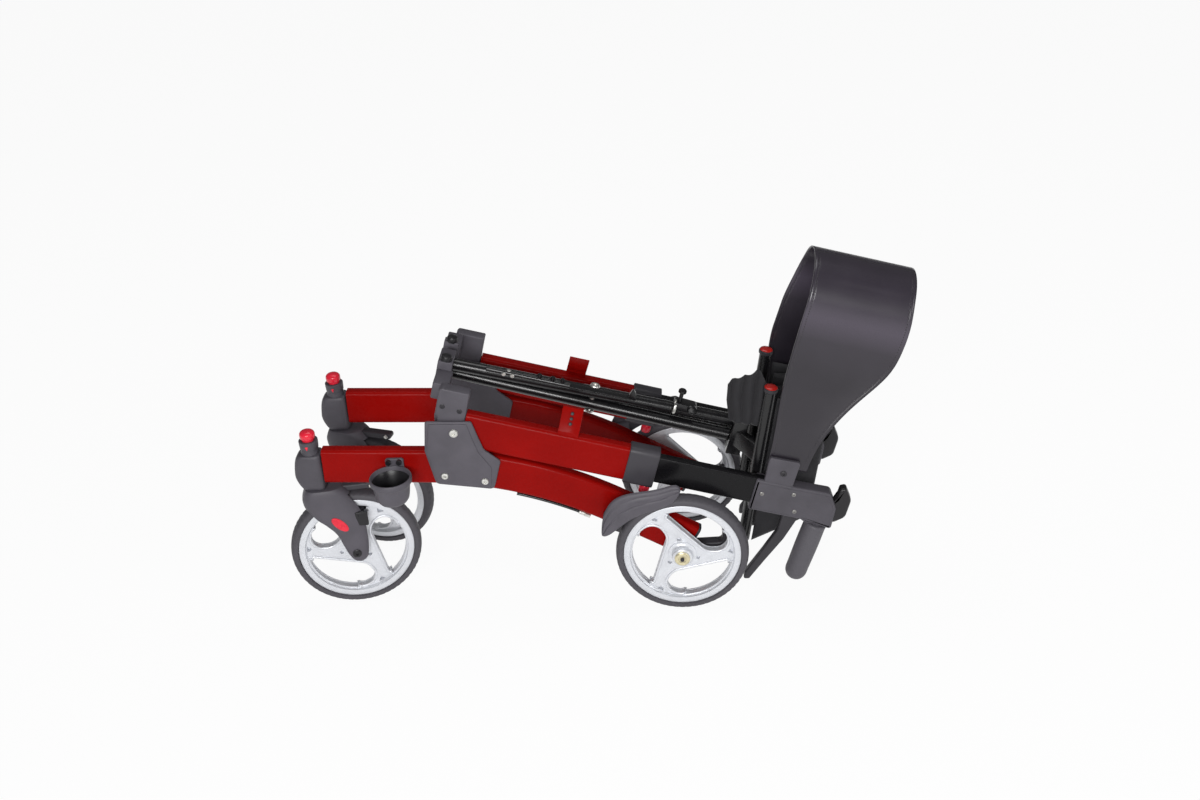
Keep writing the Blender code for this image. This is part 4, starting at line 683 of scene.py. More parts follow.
def coated_fabric(name, base, pitch):
    """Vinyl-coated fabric, calendered with a soft 1.3 mm leather grain: mid grey with a broad dull shine, creases
    some 45 mm apart, and a sewn hem 6 mm in from each edge whose stitches follow the cut. A painted highlight
    crosses the strap's shoulder, 235 mm up from its foot, and painted shade darkens the strap below it."""
    made, tree, where = start(name)
    cut_map = add(tree, "UVMap", uv_map="cut")
    up = add(tree, "SeparateXYZ", cut_map, out="X")
    in_from_edge = add(tree, "SeparateXYZ", cut_map, out="Y")
    grain = add(tree, "TexVoronoi", where, None, 1000 / 1.3, feature="SMOOTH_F1")
    crease = add(tree, "TexNoise", where, None, 1000 / 45, 2.0, 0.55)
    creased = add(tree, "MapRange", crease, 0.3, 0.7)

    stitches = add(
        tree, "Math", add(tree, "Math", up, 2 * math.pi / pitch, operation="MULTIPLY"), operation="SINE"
    )
    dash = add(tree, "MapRange", stitches, -0.35, 0.0)
    off_hem = add(
        tree, "Math", add(tree, "Math", in_from_edge, 0.006, operation="SUBTRACT"), operation="ABSOLUTE"
    )
    seam = add(tree, "MapRange", off_hem, 0.0004, 0.0008, 1, 0)
    stitch = add(tree, "Math", dash, seam, operation="MULTIPLY")
    groove = add(tree, "MapRange", off_hem, 0.0004, 0.0022, 1, 0)

    plain_tone = add(tree, "Mix", creased, i6=shade(base, 0.94), i7=shade(base, 1.06), **RGB)
    # painted shade: the strap is drawn darker below 150 mm up, fading to its plain tone by 225 mm
    painted_shade_tone = add(tree, "Mix", creased, i6=shade(base, 0.52), i7=shade(base, 0.60), **RGB)
    strap = add(tree, "Mix", add(tree, "MapRange", up, 0.150, 0.225), i6=painted_shade_tone, i7=plain_tone, **RGB)
    # painted highlight: a pale band across the shoulder from 200 to 268 mm up, at full strength from 232 to 238 mm
    rise = add(tree, "MapRange", up, 0.200, 0.232)
    fall = add(tree, "MapRange", up, 0.238, 0.268, 1, 0)
    shoulder = add(tree, "Math", rise, fall, operation="MULTIPLY")
    tone = add(tree, "Mix", shoulder, i6=strap, i7=shade(base, 2.0), **RGB)
    pits = add(tree, "MapRange", grain, 0.2, 0.9, 0, 0.25)
    pebbled = add(tree, "Mix", pits, i6=tone, i7=shade(base, 0.70), **RGB)
    sewn = add(tree, "Mix", stitch, i6=pebbled, i7=shade(base, 0.45), **RGB)

    rough = add(tree, "MapRange", crease, 0.3, 0.7, 0.30, 0.33)
    skin = add(tree, "Bump", invert=True, Height=grain, Strength=0.18, Distance=0.0003)
    hem = add(tree, "Bump", invert=True, Height=groove, Strength=0.35, Distance=0.0005, Normal=skin)
    thread = add(tree, "Bump", Height=stitch, Strength=0.6, Distance=0.0005, Normal=hem)
    return finished(made, sewn, rough, thread, Specular_IOR_Level=0.55)


FINISH = {}  # each finish's material and the record's slot that it usually takes


def make_finishes(context):
    """Builds every material from the panel's colours and gives each its usual slot."""
    colours = context.scene.rollator_colours
    black, charcoal, tyre = colours.gloss_black, colours.charcoal, colours.tyre
    pitch = context.scene.rollator_sizes.stitch_pitch
    for finish, slot, material in (
        ("red_powder", "red_tube", powder_coat("red_powder_coat", colours.frame_red)),
        ("black_gloss", "black_tube", powder_coat("black_gloss_coat", tinted(black, 0.42), 0.08, 0.16)),
        ("black_round", "black_tube", powder_coat("black_round_tube_coat", tinted(black, 0.45), 0.1, 0.45, 0.012)),
        ("nylon", "charcoal_plastic", moulded_nylon("charcoal_moulded_nylon", charcoal)),
        ("nylon_mid", "charcoal_plastic", moulded_nylon("slate_moulded_nylon", tinted(charcoal, 0.50), 0.46)),
        # painted shade: the charcoal nylon at 0.8 of its colour, drawn darker for the caster heads and handle castings
        ("nylon_painted_shade", "charcoal_plastic", moulded_nylon("shaded_moulded_nylon", tinted(charcoal, 0.80), 0.46)),
        ("nylon_dark", "black_tube", moulded_nylon("dark_moulded_nylon", tinted(charcoal, 0.34), 0.42)),
        ("red_abs", "red_plastic", glossy_plastic("red_gloss_abs", colours.signal_red)),
        ("red_cap", "red_plastic", glossy_plastic("dark_red_gloss_abs", linear("A81A14"))),
        ("silver", "silver_rim", silver_lacquer("silver_lacquered_nylon", colours.silver)),
        ("tyre", "tyre_rubber", moulded_rubber("tyre_rubber", tyre)),
        ("grip", "grip_rubber", moulded_rubber("soft_grip_rubber", tinted(tyre, 1.25), 1.4, 0.55, 0.1)),
        ("bumper", "charcoal_plastic", moulded_rubber("bumper_rubber", tinted(tyre, 0.2), 1.0, 0.36, 0.05)),
        ("zinc", "zinc_steel", zinc_plate("zinc_plated_steel", linear("D6D5D0"))),
        ("steel", "zinc_steel", zinc_plate("dull_steel", linear("8C8A88"), 0.45)),
        ("yellow_zinc", "zinc_steel", zinc_plate("yellow_zinc_steel", linear("DDD3B0"))),
        ("seat", "seat_fabric", woven_polyester("black_woven_polyester", linear("19181C"))),
        ("belt", "belt_vinyl", coated_fabric("grey_coated_fabric", colours.belt, pitch)),
        ("sheath", "cable_sheath", glossy_plastic("black_cable_pvc", linear("1B1B1D"))),
    ):
        FINISH[finish] = material, slot


# Camera, cables and stage


def photo_camera():
    """The camera that was fitted to the photo's tyre outlines, with its right, up and back directions as columns."""
    az, el, roll = (math.radians(a) for a in (4.56, 29.22, -3.84))
    back = Vector((math.sin(az) * math.cos(el), -math.cos(az) * math.cos(el), math.sin(el)))
    right = Vector((math.cos(az), math.sin(az), 0))
    up = back.cross(right)
    tilted = right * math.cos(roll) + up * math.sin(roll)
    upward = up * math.cos(roll) - right * math.sin(roll)
    data = bpy.data.cameras.new("photo_camera")
    data.lens = 41.15
    data.sensor_width = 36.0
    data.clip_end = 20
    camera = linked("photo_camera", data)
    turn = Matrix((tilted, upward, back)).transposed().to_4x4()
    camera.matrix_world = Matrix.Translation(Vector((0.0261, -1.8075, 1.3152)) + Vector(SHIFT)) @ turn
    bpy.context.scene.camera = camera


def brake_cables(context):
    """A round sheath carried along a line just below the side tube, its centre a radius and a gap from the tube."""
    radius = context.scene.rollator_sizes.cable_radius
    line, slopes = side_line(np.linspace(-0.236, -0.124, 40), TUBE_H / 2 + 0.0022 + GAP)
    section = arc(radius, np.arange(16) * 22.5)
    for name, side in SIDES:
        y = side * CABLE_Y
        sheath = tube(line, slopes, section, y)
        obj = piece(f"{name}_cable", sheath, "sheath", f"{name}_chassis", f"{name}_brake_cable")


def area_lamp(name, at, target, size, watts):
    """A rectangular white lamp that faces a target."""
    data = bpy.data.lights.new(name, "AREA")
    data.shape = "RECTANGLE"
    data.size, data.size_y = size
    data.energy = watts
    lamp = linked(name, data)
    lamp.location = Vector(at)
    lamp.rotation_euler = (Vector(target) - Vector(at)).to_track_quat("-Z", "Y").to_euler()


def stage():
    """A paper floor 12 m square that camera, glossy and transmission rays see almost white, and a white world that
    camera and transmission rays see at full strength."""
    half = 6.0
    mesh = bpy.data.meshes.new("studio_floor")
    mesh.from_pydata([(-half, -half, 0), (half, -half, 0), (half, half, 0), (-half, half, 0)], [], [(0, 1, 2, 3)])
    floor = linked("studio_floor", mesh)
    paper = bpy.data.materials.new("seamless_white_paper")
    paper.use_nodes = True
    tree = paper.node_tree
    shader = tree.nodes["Principled BSDF"]
    shader.inputs["Base Color"].default_value = (0.90, 0.90, 0.90, 1)
    shader.inputs["Roughness"].default_value = 0.9
    rays = add(tree, "LightPath").node.outputs
    seen = add(tree, "Math", rays["Is Camera Ray"], rays["Is Glossy Ray"], operation="MAXIMUM")
    seen = add(tree, "Math", seen, rays["Is Transmission Ray"], operation="MAXIMUM")
    white = add(tree, "Emission", Color=(1, 1, 1, 1), Strength=1.0)
    share = add(tree, "MapRange", seen, 0, 1, 0.0, 0.94)
    mixed = add(tree, "MixShader", share, shader.outputs["BSDF"], white)
    tree.links.new(mixed, tree.nodes["Material Output"].inputs["Surface"])
    mesh.materials.append(paper)

    world = bpy.data.worlds.new("studio")
    world.use_nodes = True
    bpy.context.scene.world = world
    tree = world.node_tree
    rays = add(tree, "LightPath").node.outputs
    seen = add(tree, "Math", rays["Is Camera Ray"], rays["Is Transmission Ray"], operation="MAXIMUM")
    back = tree.nodes["Background"]
    back.inputs["Color"].default_value = (1, 1, 1, 1)
    tree.links.new(add(tree, "MapRange", seen, 0, 1, 0.14, 1.0), back.inputs["Strength"])

    centre = (SHIFT[0] - 0.15, SHIFT[1], 0.25)
    area_lamp("key_softbox", (-0.2, -2.9, 1.5), centre, (1.8, 0.9), 80)
    area_lamp("top_softbox", (0.1, 0.5, 3.1), centre, (2.0, 1.2), 22)
    area_lamp("side_softbox", (2.5, -1.2, 1.2), centre, (1.2, 1.2), 18)
    bpy.context.scene.view_settings.view_transform = "Standard"


# Side frames, covers and castings


def side_tubes():
    """The frame's hollow flat oval section carried along the side line."""
    line, slopes = side_line(np.linspace(NOSE_X, TAIL_X, 90))
    for name, side in SIDES:
        shape = frame_tube(line, slopes, side * FRAME_Y)
        piece(f"{name}_side_tube", shape, "red_powder", f"{name}_chassis", f"{name}_main_tube")


def cover_outline(front_x, slope):
    """A plate with eight rounded corners, whose front edge leans back by a slope at its top."""
    return rounded(
        [
            (front_x + slope, 0.331, 0.004), (-0.299, 0.329, 0.004), (-0.291, 0.301, 0.010), (-0.285, 0.281, 0.010),
            (-0.262, 0.261, 0.006), (-0.276, 0.212, 0.008), (-0.362, 0.224, 0.008), (front_x, 0.281, 0.008),
        ],
        6,
    )


def joint_covers(context):
    """Both covers are pillows of one outline. The outer one carries a raised panel with a sloped rear edge."""
    edge = context.scene.rollator_sizes.edge
    panel = rounded(
        [
            (-0.362, 0.3275, 0.004), (-0.306, 0.3255, 0.004), (-0.300, 0.301, 0.010), (-0.293, 0.277, 0.012),
            (-0.276, 0.250, 0.006), (-0.2795, 0.2165, 0.006), (-0.3595, 0.2275, 0.006), (-0.3695, 0.281, 0.008),
        ],
        6,
    )
    for name, side in SIDES:
        chassis = f"{name}_chassis"
        back, face = side * TUBE_OUTER_Y, side * COVER_OUTER_Y
        plate = pillow(cover_outline(-0.373, 0.006), back, side * (FRAME_Y + 0.0158), edge)
        raised = pillow(panel, back + side * 0.002, face, edge * 0.5)
        screws = [bolt((x, face, z), (0, side, 0), 0.0056, 0.0024) for x, z in COVER_BOLTS]
        screws.append(bolt((FOLD[0], face, FOLD[1]), (0, side, 0), 0.0068, 0.003))
        screws.append(cross_rod(FOLD, side * 0.073, face, FOLD_PIN_R))
        piece(f"{name}_hinge_cover", [plate, raised], "nylon", chassis, f"{name}_joint_cover_outer")
        piece(f"{name}_hinge_screws", screws, "zinc", chassis)
        face = side * COVER_INNER_Y
        bore = cross_rod(FOLD, side * 0.06, side * 0.10, FOLD_PIN_R + GAP, 24, 0)
        plate = cut(pillow(cover_outline(-0.361, 0.004), face, side * TUBE_INNER_Y, edge), [bore])
        nuts = [cross_rod(place, face + side * 0.001, face - side * 0.003, 0.0045, 6) for place in COVER_BOLTS]
        piece(f"{name}_inner_cover", plate, "nylon", chassis, f"{name}_joint_cover_inner")
        piece(f"{name}_cover_nuts", nuts, "zinc", chassis, sharp=20)


def caster_heads():
    """A rounded block with a turned collar on it and a small red wedge under the button on both its sides."""
    face_x = NOSE_X - GAP - TUBE_H / 2 * math.sin(BEND_FROM)
    rungs = (
        (-0.5600, 0.2170, -0.5330, 0.2170, 0.0135), (-0.5655, 0.2195, face_x, 0.2195, 0.0162),
        (-0.5710, 0.2290, face_x, 0.2290, 0.0172), (-0.5742, 0.2400, face_x, 0.2400, 0.0173),
        (-0.5735, 0.2520, face_x, 0.2520, 0.0172), (-0.5715, 0.2640, face_x, 0.2640, 0.0168),
        (-0.5685, 0.2725, face_x, 0.2725, 0.0160), (-0.5640, 0.2762, -0.5325, 0.2762, 0.0138),
    )
    floor_z = CAP_TOP_Z - BUTTON_POCKET
    collar = [
        (0, 0.262), (0.0135, 0.262), (0.0135, 0.280), (0.0130, 0.2815), (0.0130, 0.2835), (0.0137, 0.285),
        (0.0142, 0.292), (0.0142, CAP_TOP_Z - 0.0008), (0.0134, CAP_TOP_Z), (0.0098, CAP_TOP_Z), (0.0098, floor_z),
        (0, floor_z),
    ]
    wedge = rounded([(-0.0026, 0.2925, 0.0006), (0.0026, 0.2925, 0.0006), (0.0, 0.2855, 0.0006)], 3)
    wedge = wedge + np.array((CASTER_X, 0))
    for name, side in SIDES:
        y = side * FRAME_Y
        shapes = [limb(rungs, 36, y, 4.5), turned(collar, (CASTER_X, y, 0), Z_AXIS)]
        marks = [pillow(wedge, y + low, y + low + 0.0026, 0.0004, 2) for low in (-0.0146, 0.0120)]
        # the head's darker nylon is painted shade
        piece(f"{name}_head", shapes, "nylon_painted_shade", f"{name}_chassis", f"{name}_caster_head")
        piece(f"{name}_head_marks", marks, "red_abs", f"{name}_chassis")


def release_buttons():
    """A turned button: a stem in its pocket under a cap, whose dome has r = R cos(a)^0.75 and z = h sin a."""
    low, cap_z = CAP_TOP_Z - 0.0033, CAP_TOP_Z + 0.0035
    dome = [
        (0.0115 * math.cos(a) ** 0.75 + 1e-5, cap_z + 0.006 + 0.0063 * math.sin(a))
        for a in np.linspace(0, math.pi / 2, 9)
    ]
    profile = [(0, low), (0.0092, low), (0.0092, cap_z), (0.0110, cap_z), (0.0115, cap_z + 0.0008), *dome]
    for name, side in SIDES:
        shape = turned(profile, (CASTER_X, side * FRAME_Y, 0), Z_AXIS)
        piece(f"{name}_button", shape, "red_abs", f"{name}_button", f"{name}_release_button")


def forks():
    """Each fork limb is slotted for its wheel and carries oval inlays, stop blocks and a bar with a screw. They
    are worked out about the stem, then turned by the toe-in and moved to each caster."""
    rungs = (
        (-0.0170, 0.2167, 0.0360, 0.2167, 0.0215), (-0.0215, 0.2080, 0.0430, 0.2100, 0.0240),
        (-0.0243, 0.1970, 0.0495, 0.2000, 0.0245), (-0.0215, 0.1830, 0.0570, 0.1870, 0.0245),
        (-0.0110, 0.1660, 0.0630, 0.1720, 0.0245), (0.0040, 0.1500, 0.0655, 0.1550, 0.0245),
        (0.0165, 0.1330, 0.0663, 0.1350, 0.0243), (0.0235, 0.1120, 0.0657, 0.1130, 0.0240),
        (0.0295, 0.0950, 0.0630, 0.0950, 0.0236), (0.0345, 0.0865, 0.0595, 0.0860, 0.0225),
        (0.0410, 0.0822, 0.0530, 0.0820, 0.0195),
    )
    wheel = (CASTER_TRAIL, WHEEL_R)
    wheel_slot = cross_rod(wheel, -0.0161, 0.0161, WHEEL_R + 0.003, 96, 0)
    c, s = math.cos(math.radians(40)), math.sin(math.radians(40))
    ellipse = arc(1, np.arange(48) * 7.5) * (0.0074, 0.0162)
    inlay = np.array((0.0262, 0.1565)) + ellipse @ np.array(((c, s), (s, -c)))
    block = [(0.0500, 0.149, 0.002), (0.0690, 0.147, 0.002), (0.0690, 0.171, 0.002), (0.0500, 0.173, 0.002)]
    bar = [(0.0300, 0.2035, 0.001), (0.0880, 0.2035, 0.004), (0.0880, 0.2125, 0.004), (0.0300, 0.2150, 0.001)]
    cap = [(0, 0), (0.0068, 0), (0.0068, 0.0018), (0.0055, 0.0026), (0.0026, 0.0026), (0.0026, 0.0008), (0, 0.0008)]
    stops = [
        cross_rod(wheel, -0.0245, 0.0245, AXLE_R),
        *(turned(cap, (CASTER_TRAIL, way * 0.0238, WHEEL_R), (0, way, 0)) for way in (-1, 1)),
        *(pillow(rounded(block, 4), way * 0.0168, way * 0.0228, 0.0012) for way in (-1, 1)),
    ]
    parts = (
        ("limb", [cut(limb(rungs, 61), [wheel_slot], 0.0009), rod((0, 0, 0.212), (0, 0, 0.258), 0.008)], "nylon"),
        ("ovals", [pillow(inlay, way * 0.0230, way * 0.0257, 0.0013, 4) for way in (-1, 1)], "red_abs"),
        ("stops", stops, "bumper"),
        ("bar", [pillow(rounded(bar, 5), -0.0080, 0.0080, 0.0025, 4)], "nylon_mid"),
        ("screw", [bolt((0.0800, -0.0078, 0.2080), (0, -1, 0), 0.0032, 0.0016)], "zinc"),
    )
    for name, side in SIDES:
        for part, shapes, finish in parts:
            placed = [moved_wheel(shape, (CASTER_X, side * FRAME_Y, 0), -side * TOE_IN) for shape in shapes]
            stands_for, sharp = (f"{name}_fork", 45) if part == "limb" else (None, 38)
            piece(f"{name}_fork_{part}", placed, finish, f"{name}_caster", stands_for, sharp)


# Wheels


def swirl_outline():
    """One of the rim's three openings: a long edge past the hub, a round heel that turns into the rim's inner
    arc, and a narrow tip."""
    tip, heel = arc(SWIRL_R, (111, 28))
    corners = [(*tip, 0.0022), (0.0357, 0.0035, 0.024), (0.0700, 0.0035, 0.018), (*heel, 0.012)]
    return np.concatenate((rounded(corners, 12), arc(SWIRL_R, np.linspace(31, 107.5, 26))))


def turn_flat(points, degrees):
    """Flat points turned about the origin."""
    c, s = math.cos(math.radians(degrees)), math.sin(math.radians(degrees))
    return points @ np.array(((c, s), (-s, c)))


def bead(outline, y, radius):
    """A round bead carried round a closed outline in the wheel's plane: point = outline + r (cos a out, sin a
    along Y)."""
    ahead = np.roll(outline, -1, 0) - np.roll(outline, 1, 0)
    ahead /= np.linalg.norm(ahead, axis=1, keepdims=True)
    out = np.stack((ahead[:, 1], -ahead[:, 0]), -1)
    ring = arc(radius, np.arange(10) * 36)
    flat = outline[:, None, :] + ring[None, :, :1] * out[:, None, :]
    level = np.broadcast_to(y + ring[:, 1], flat.shape[:2])
    return grid(np.stack((flat[..., 0], level, flat[..., 1]), -1), rows_closed=True)


def rim_shapes(hub_in, hub_out, mirror_at=None):
    """Wheel centre in wheel space: a lipped barrel, a web with three swirled openings edged by beads, and a hub.
    mirror_at turns each angle a of the web to 2 mirror_at - a, so that its swirl runs the other way."""

    def placed(points, degrees):
        points = turn_flat(points, degrees)
        if mirror_at is None:
            return points
        c, s = math.cos(math.radians(2 * mirror_at)), math.sin(math.radians(2 * mirror_at))
        return (points @ np.array(((c, s), (s, -c))))[::-1]

    openings = [placed(swirl_outline(), turn) for turn in (0, 120, 240)]
    cutters = [pillow(points, -0.02, 0.02, 0.0) for points in openings]
    pocket = rounded([(0.0760, 0.0068, 0.0010), (0.0760, -0.0064, 0.0010), (0.0682, -0.0005, 0.0010)], 4)
    notch = rounded(
        [(0.0275, -0.0030, 0.0008), (0.0275, 0.0030, 0.0008), (0.0225, 0.0030, 0.0008), (0.0225, -0.0030, 0.0008)], 4
    )
    for turn in (2, 122, 242):
        cutters.append(pillow(placed(pocket, turn), -0.0070, 0.0030, 0.0))
        cutters.append(pillow(placed(notch, turn - 22), -0.0070, 0.0015, 0.0))
    web = cut(pillow(arc(0.0815, np.arange(0, 360, 3.0)), -0.0052, 0.0052, 0.0), cutters, 0.0006)
    beads = [bead(inward(points, -0.0014), y, 0.0021) for points in openings for y in (-0.0050, 0.0050)]
    barrel = [
        (0.0785, -0.0100), (0.0790, -0.0108), (0.0802, -0.0110), (0.0868, -0.0110), (RIM_SEAT_R, -0.0104),
        (RIM_SEAT_R, 0.0104), (0.0868, 0.0110), (0.0802, 0.0110), (0.0790, 0.0108), (0.0785, 0.0100), (0.0785, 0.0075),
        (0.0772, 0.0060), (0.0768, 0.0052), (0.0768, -0.0052), (0.0772, -0.0060), (0.0785, -0.0075),
    ]
    bore = AXLE_R + GAP
    hub = [
        (bore, -hub_out), (0.0135, -hub_out), (0.0150, -hub_out + 0.0012), (0.0158, -0.0090), (0.0176, -0.0072),
        (0.0205, -0.0068), (0.0212, -0.0050), (0.0212, 0.0050), (0.0205, 0.0068), (0.0176, 0.0072), (0.0158, 0.0090),
        (0.0150, hub_in - 0.0012), (0.0135, hub_in), (bore, hub_in),
    ]
    turnings = [ring_turned(rows, (0, 0, 0), Y_AXIS, steps) for rows, steps in ((barrel, 120), (hub, 60))]
    return [web, *beads, *turnings]


def tyre_shape(depth, count):
    """A crowned tyre of half width h: y = -h cos(t)^0.75, r = seat + crown sin(t)^0.62. The sipes lower its shoulders
    by a depth where sin(count a + 3.52 |y| / h) is high, and a 0.6 mm groove runs round it at |y| = 0.3 h."""
    seat = RIM_SEAT_R + GAP
    t = np.linspace(0, math.pi, 27)
    y = -TYRE_HALF * np.sign(np.cos(t)) * np.abs(np.cos(t)) ** 0.75
    r = seat + 0.0012 + (WHEEL_R - seat - 0.0012) * np.abs(np.sin(t)) ** 0.62
    profile = np.concatenate(([(seat, -TYRE_HALF * 0.80)], np.stack((r, y), -1), [(seat, TYRE_HALF * 0.80)]))
    steps = count * 6
    angle = np.arange(steps) / steps * 2 * math.pi
    out = np.abs(profile[:, 1:]) / TYRE_HALF
    wave = np.sin(count * angle + out * 3.52)
    shoulder = np.exp(-(((out - 0.62) / 0.22) ** 2)) * (profile[:, :1] > seat + 0.003)
    sipe = depth * shoulder * np.clip((wave - 0.35) * 3, 0, 1)
    groove = 0.0006 * np.exp(-(((out - 0.30) / 0.05) ** 2))
    return ring_turned(profile, (0, 0, 0), Y_AXIS, steps, 1 - (sipe + groove) / profile[:, :1])


def wheels(context):
    """A rim and a tyre for each wheel, the front ones turned by the toe-in and set back by the caster's trail."""
    sizes = context.scene.rollator_sizes
    tyre = tyre_shape(sizes.tread_depth, sizes.tread_count)
    front, rear = rim_shapes(*FRONT_HUB, 28), rim_shapes(*REAR_HUB)
    for name, side in SIDES:
        yaw = -side * TOE_IN
        front_at = (CASTER_X + CASTER_TRAIL * math.cos(yaw), side * FRAME_Y + CASTER_TRAIL * math.sin(yaw), WHEEL_R)
        rear_at = (0, side * REAR_WHEEL_Y, WHEEL_R)
        for end, at, turn, rim in (("front", front_at, yaw, front), ("rear", rear_at, 0, rear)):
            wheel = f"{name}_{end}_wheel"
            shapes = [moved_wheel(shape, at, turn, side > 0) for shape in (*rim, tyre)]
            piece(f"{wheel}_centre", shapes[:-1], "silver", wheel, f"{name}_{end}_rim")
            piece(f"{wheel}_tyre", shapes[-1], "tyre", wheel, f"{name}_{end}_tyre", 50)


# Rear castings and brakes


def axle_castings():
    """End cap and a tipping pedal whose side view turns up at the tip; zinc axle nut with a domed end."""
    tail = side_line(np.array((TAIL_X,)))[0][0]
    way = np.array((math.cos(BEND_TO), -math.sin(BEND_TO)))
    cap_line = np.array((tail + way * GAP, tail + way * 0.0040))
    pedal = rounded(
        [
            (0.0035, 0.086, 0.0), (0.056, 0.086, 0.012), (0.074, 0.100, 0.006), (0.070, 0.122, 0.0035),
            (0.062, 0.121, 0.0035), (0.060, 0.103, 0.006), (0.0122, 0.101, 0.0),
        ],
        6,
    )
    nut = [(0, 0), (0.0115, 0), (0.0115, 0.0018), (0.0100, 0.0030), (0.0060, 0.0030), (0.0052, 0.0022), (0, 0.0022)]
    wheel = (0, WHEEL_R)
    hub_in, hub_out = REAR_WHEEL_Y - REAR_HUB[0] - GAP, REAR_WHEEL_Y + REAR_HUB[1] + GAP
    for name, side in SIDES:
        chassis, y = f"{name}_chassis", side * FRAME_Y
        casting = [
            tube(cap_line, np.full(2, BEND_TO), oval(TUBE_H, TUBE_T), y),
            pillow(pedal, y - 0.009, y + 0.009, 0.0025, 4),
            cross_rod(wheel, y, side * hub_in, 0.009, 32),
        ]
        for rib in range(3):
            place = (0.0628 + 0.0014 * rib, 0.1215 - 0.0045 * rib)
            casting.append(cross_rod(place, y - 0.0085, y + 0.0085, 0.0012, 12))
        axle = cross_rod(wheel, side * hub_in, side * hub_out, AXLE_R, 32)
        stud = cross_rod(wheel, side * (hub_out + 0.001), side * (hub_out + 0.0052), 0.0034, 6)
        piece(f"{name}_axle_casting", casting, "nylon_dark", chassis, f"{name}_axle_bracket")
        nut_shape = turned(nut, (0, side * hub_out, WHEEL_R), (0, side, 0), 36)
        piece(f"{name}_axle_nut", [axle, nut_shape], "yellow_zinc", chassis)
        piece(f"{name}_axle_stud", stud, "nylon_dark", chassis, sharp=20)


def fine_edge(corners, count):
    """A curve through its corners at even steps, smoothed by a nine-point mean, its ends mirrored through."""
    corners = np.array(corners)
    share, fine = np.linspace(0, 1, len(corners)), np.linspace(0, 1, count)
    found = []
    for values in corners.T:
        padded = np.pad(np.interp(fine, share, values), 4, mode="reflect", reflect_type="odd")
        found.append(np.convolve(padded, np.ones(9) / 9, "valid"))
    return np.stack(found, -1)


def brake_guards():
    """The guard's leaf is a grid: t runs along it between two edge curves and s across, its face domed by
    sin(pi s) and pressed in along two long lines. A foot and a plate hold it to the tube."""
    count = 60
    top = (
        (-0.1185, 0.149), (-0.1170, 0.172), (-0.1100, 0.192), (-0.1000, 0.2060), (-0.0880, 0.2135), (-0.0700, 0.2185),
        (-0.0500, 0.2205), (-0.0340, 0.2230), (-0.0190, 0.2275), (-0.0090, 0.2310), (-0.0020, 0.2295), (0.0006, 0.2240),
    )
    low = (
        (-0.118, 0.1445), (-0.111, 0.1420), (-0.102, 0.1490), (-0.0903, 0.1591), (-0.075, 0.1715), (-0.060, 0.1800),
        (-0.045, 0.1860), (-0.030, 0.1900), (-0.018, 0.1950), (-0.009, 0.2020), (-0.003, 0.2110), (0.0008, 0.2200),
    )
    foot = rounded(
        [
            (-0.1165, 0.146, 0.002), (-0.1165, 0.164, 0.002), (-0.1015, 0.1835, 0.003), (-0.082, 0.1865, 0.002),
            (-0.082, 0.181, 0.001), (-0.1005, 0.179, 0.003), (-0.1120, 0.1625, 0.003), (-0.1125, 0.146, 0.001),
        ],
        4,
    )
    plate = rounded(
        [
            (-0.1165, 0.146, 0.002), (-0.078, 0.158, 0.002), (-0.070, 0.174, 0.002), (-0.082, 0.1865, 0.002),
            (-0.1015, 0.1835, 0.002), (-0.1165, 0.164, 0.002),
        ],
        4,
    )
    top, low = fine_edge(top, count), fine_edge(low, count)
    t, s = np.linspace(0, 1, count)[:, None], np.linspace(0, 1, 25)[None, :]
    ends = np.clip(np.minimum(t, 1 - t) / 0.06, 0, 1) ** 0.5
    dome = np.sin(math.pi * s) ** 0.45 * ends
    lines = np.exp(-(((s - 0.40 - 0.16 * t) / 0.035) ** 2)) + 0.8 * np.exp(-(((s - 0.78) / 0.035) ** 2))
    outer = REAR_WHEEL_Y + TYRE_HALF + 0.011
    face = outer - 0.0050 * (1 - dome) - 0.0017 * lines * ends
    back = outer - 0.0065 + 0.0012 * dome
    level = np.concatenate((face, back[:, ::-1]), 1)
    flat = low[:, None, :] + (top - low)[:, None, :] * s[..., None]
    flat = np.concatenate((flat, flat[:, ::-1]), 1)
    for name, side in SIDES:
        shapes = [
            grid(np.stack((flat[..., 0], side * level, flat[..., 1]), -1)),
            pillow(foot, side * TUBE_OUTER_Y, side * (outer - 0.005), 0.0008, 2),
            pillow(plate, side * TUBE_OUTER_Y, side * (FRAME_Y + 0.014), 0.0006, 2),
            cross_rod(BRAKE_PIVOT, side * (FRAME_Y + 0.012), side * (outer - 0.004), 0.003),
        ]
        piece(f"{name}_brake_guard", shapes, "nylon", f"{name}_chassis", f"{name}_brake_cover", 50)


def brake_rockers():
    """Merged copies of the CAD's rockers, their flats put together and their edges eased by a small Bevel."""
    sharp = 35
    for name in ("left", "right"):
        node = f"{name}_brake_arm"
        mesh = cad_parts[node].data.copy()
        bm = bmesh.new()
        bm.from_mesh(mesh)
        bmesh.ops.remove_doubles(bm, verts=bm.verts, dist=0.000002)
        bmesh.ops.dissolve_limit(bm, angle_limit=math.radians(0.5), verts=bm.verts, edges=bm.edges)
        bm.to_mesh(mesh)
        bm.free()
        obj = shown(linked(f"{node}_shown", mesh), "nylon_dark", f"{name}_brake_rocker", node, sharp)
        ease_edges(obj, 0.0005, sharp).harden_normals = True


def cable_ends():
    """A ferrule and an adjuster nut where each brake cable enters its guard."""
    line = side_line(np.array((-0.140, -0.131, -0.1225)), TUBE_H / 2 + 0.0025)[0]
    for name, side in SIDES:
        start, middle, end = (np.array((x, side * CABLE_Y, z)) for x, z in line)
        shapes = [rod(start, middle, 0.0034), rod(middle, end, 0.0042, 6)]
        piece(f"{name}_cable_adjuster", shapes, "zinc", f"{name}_chassis", sharp=20)


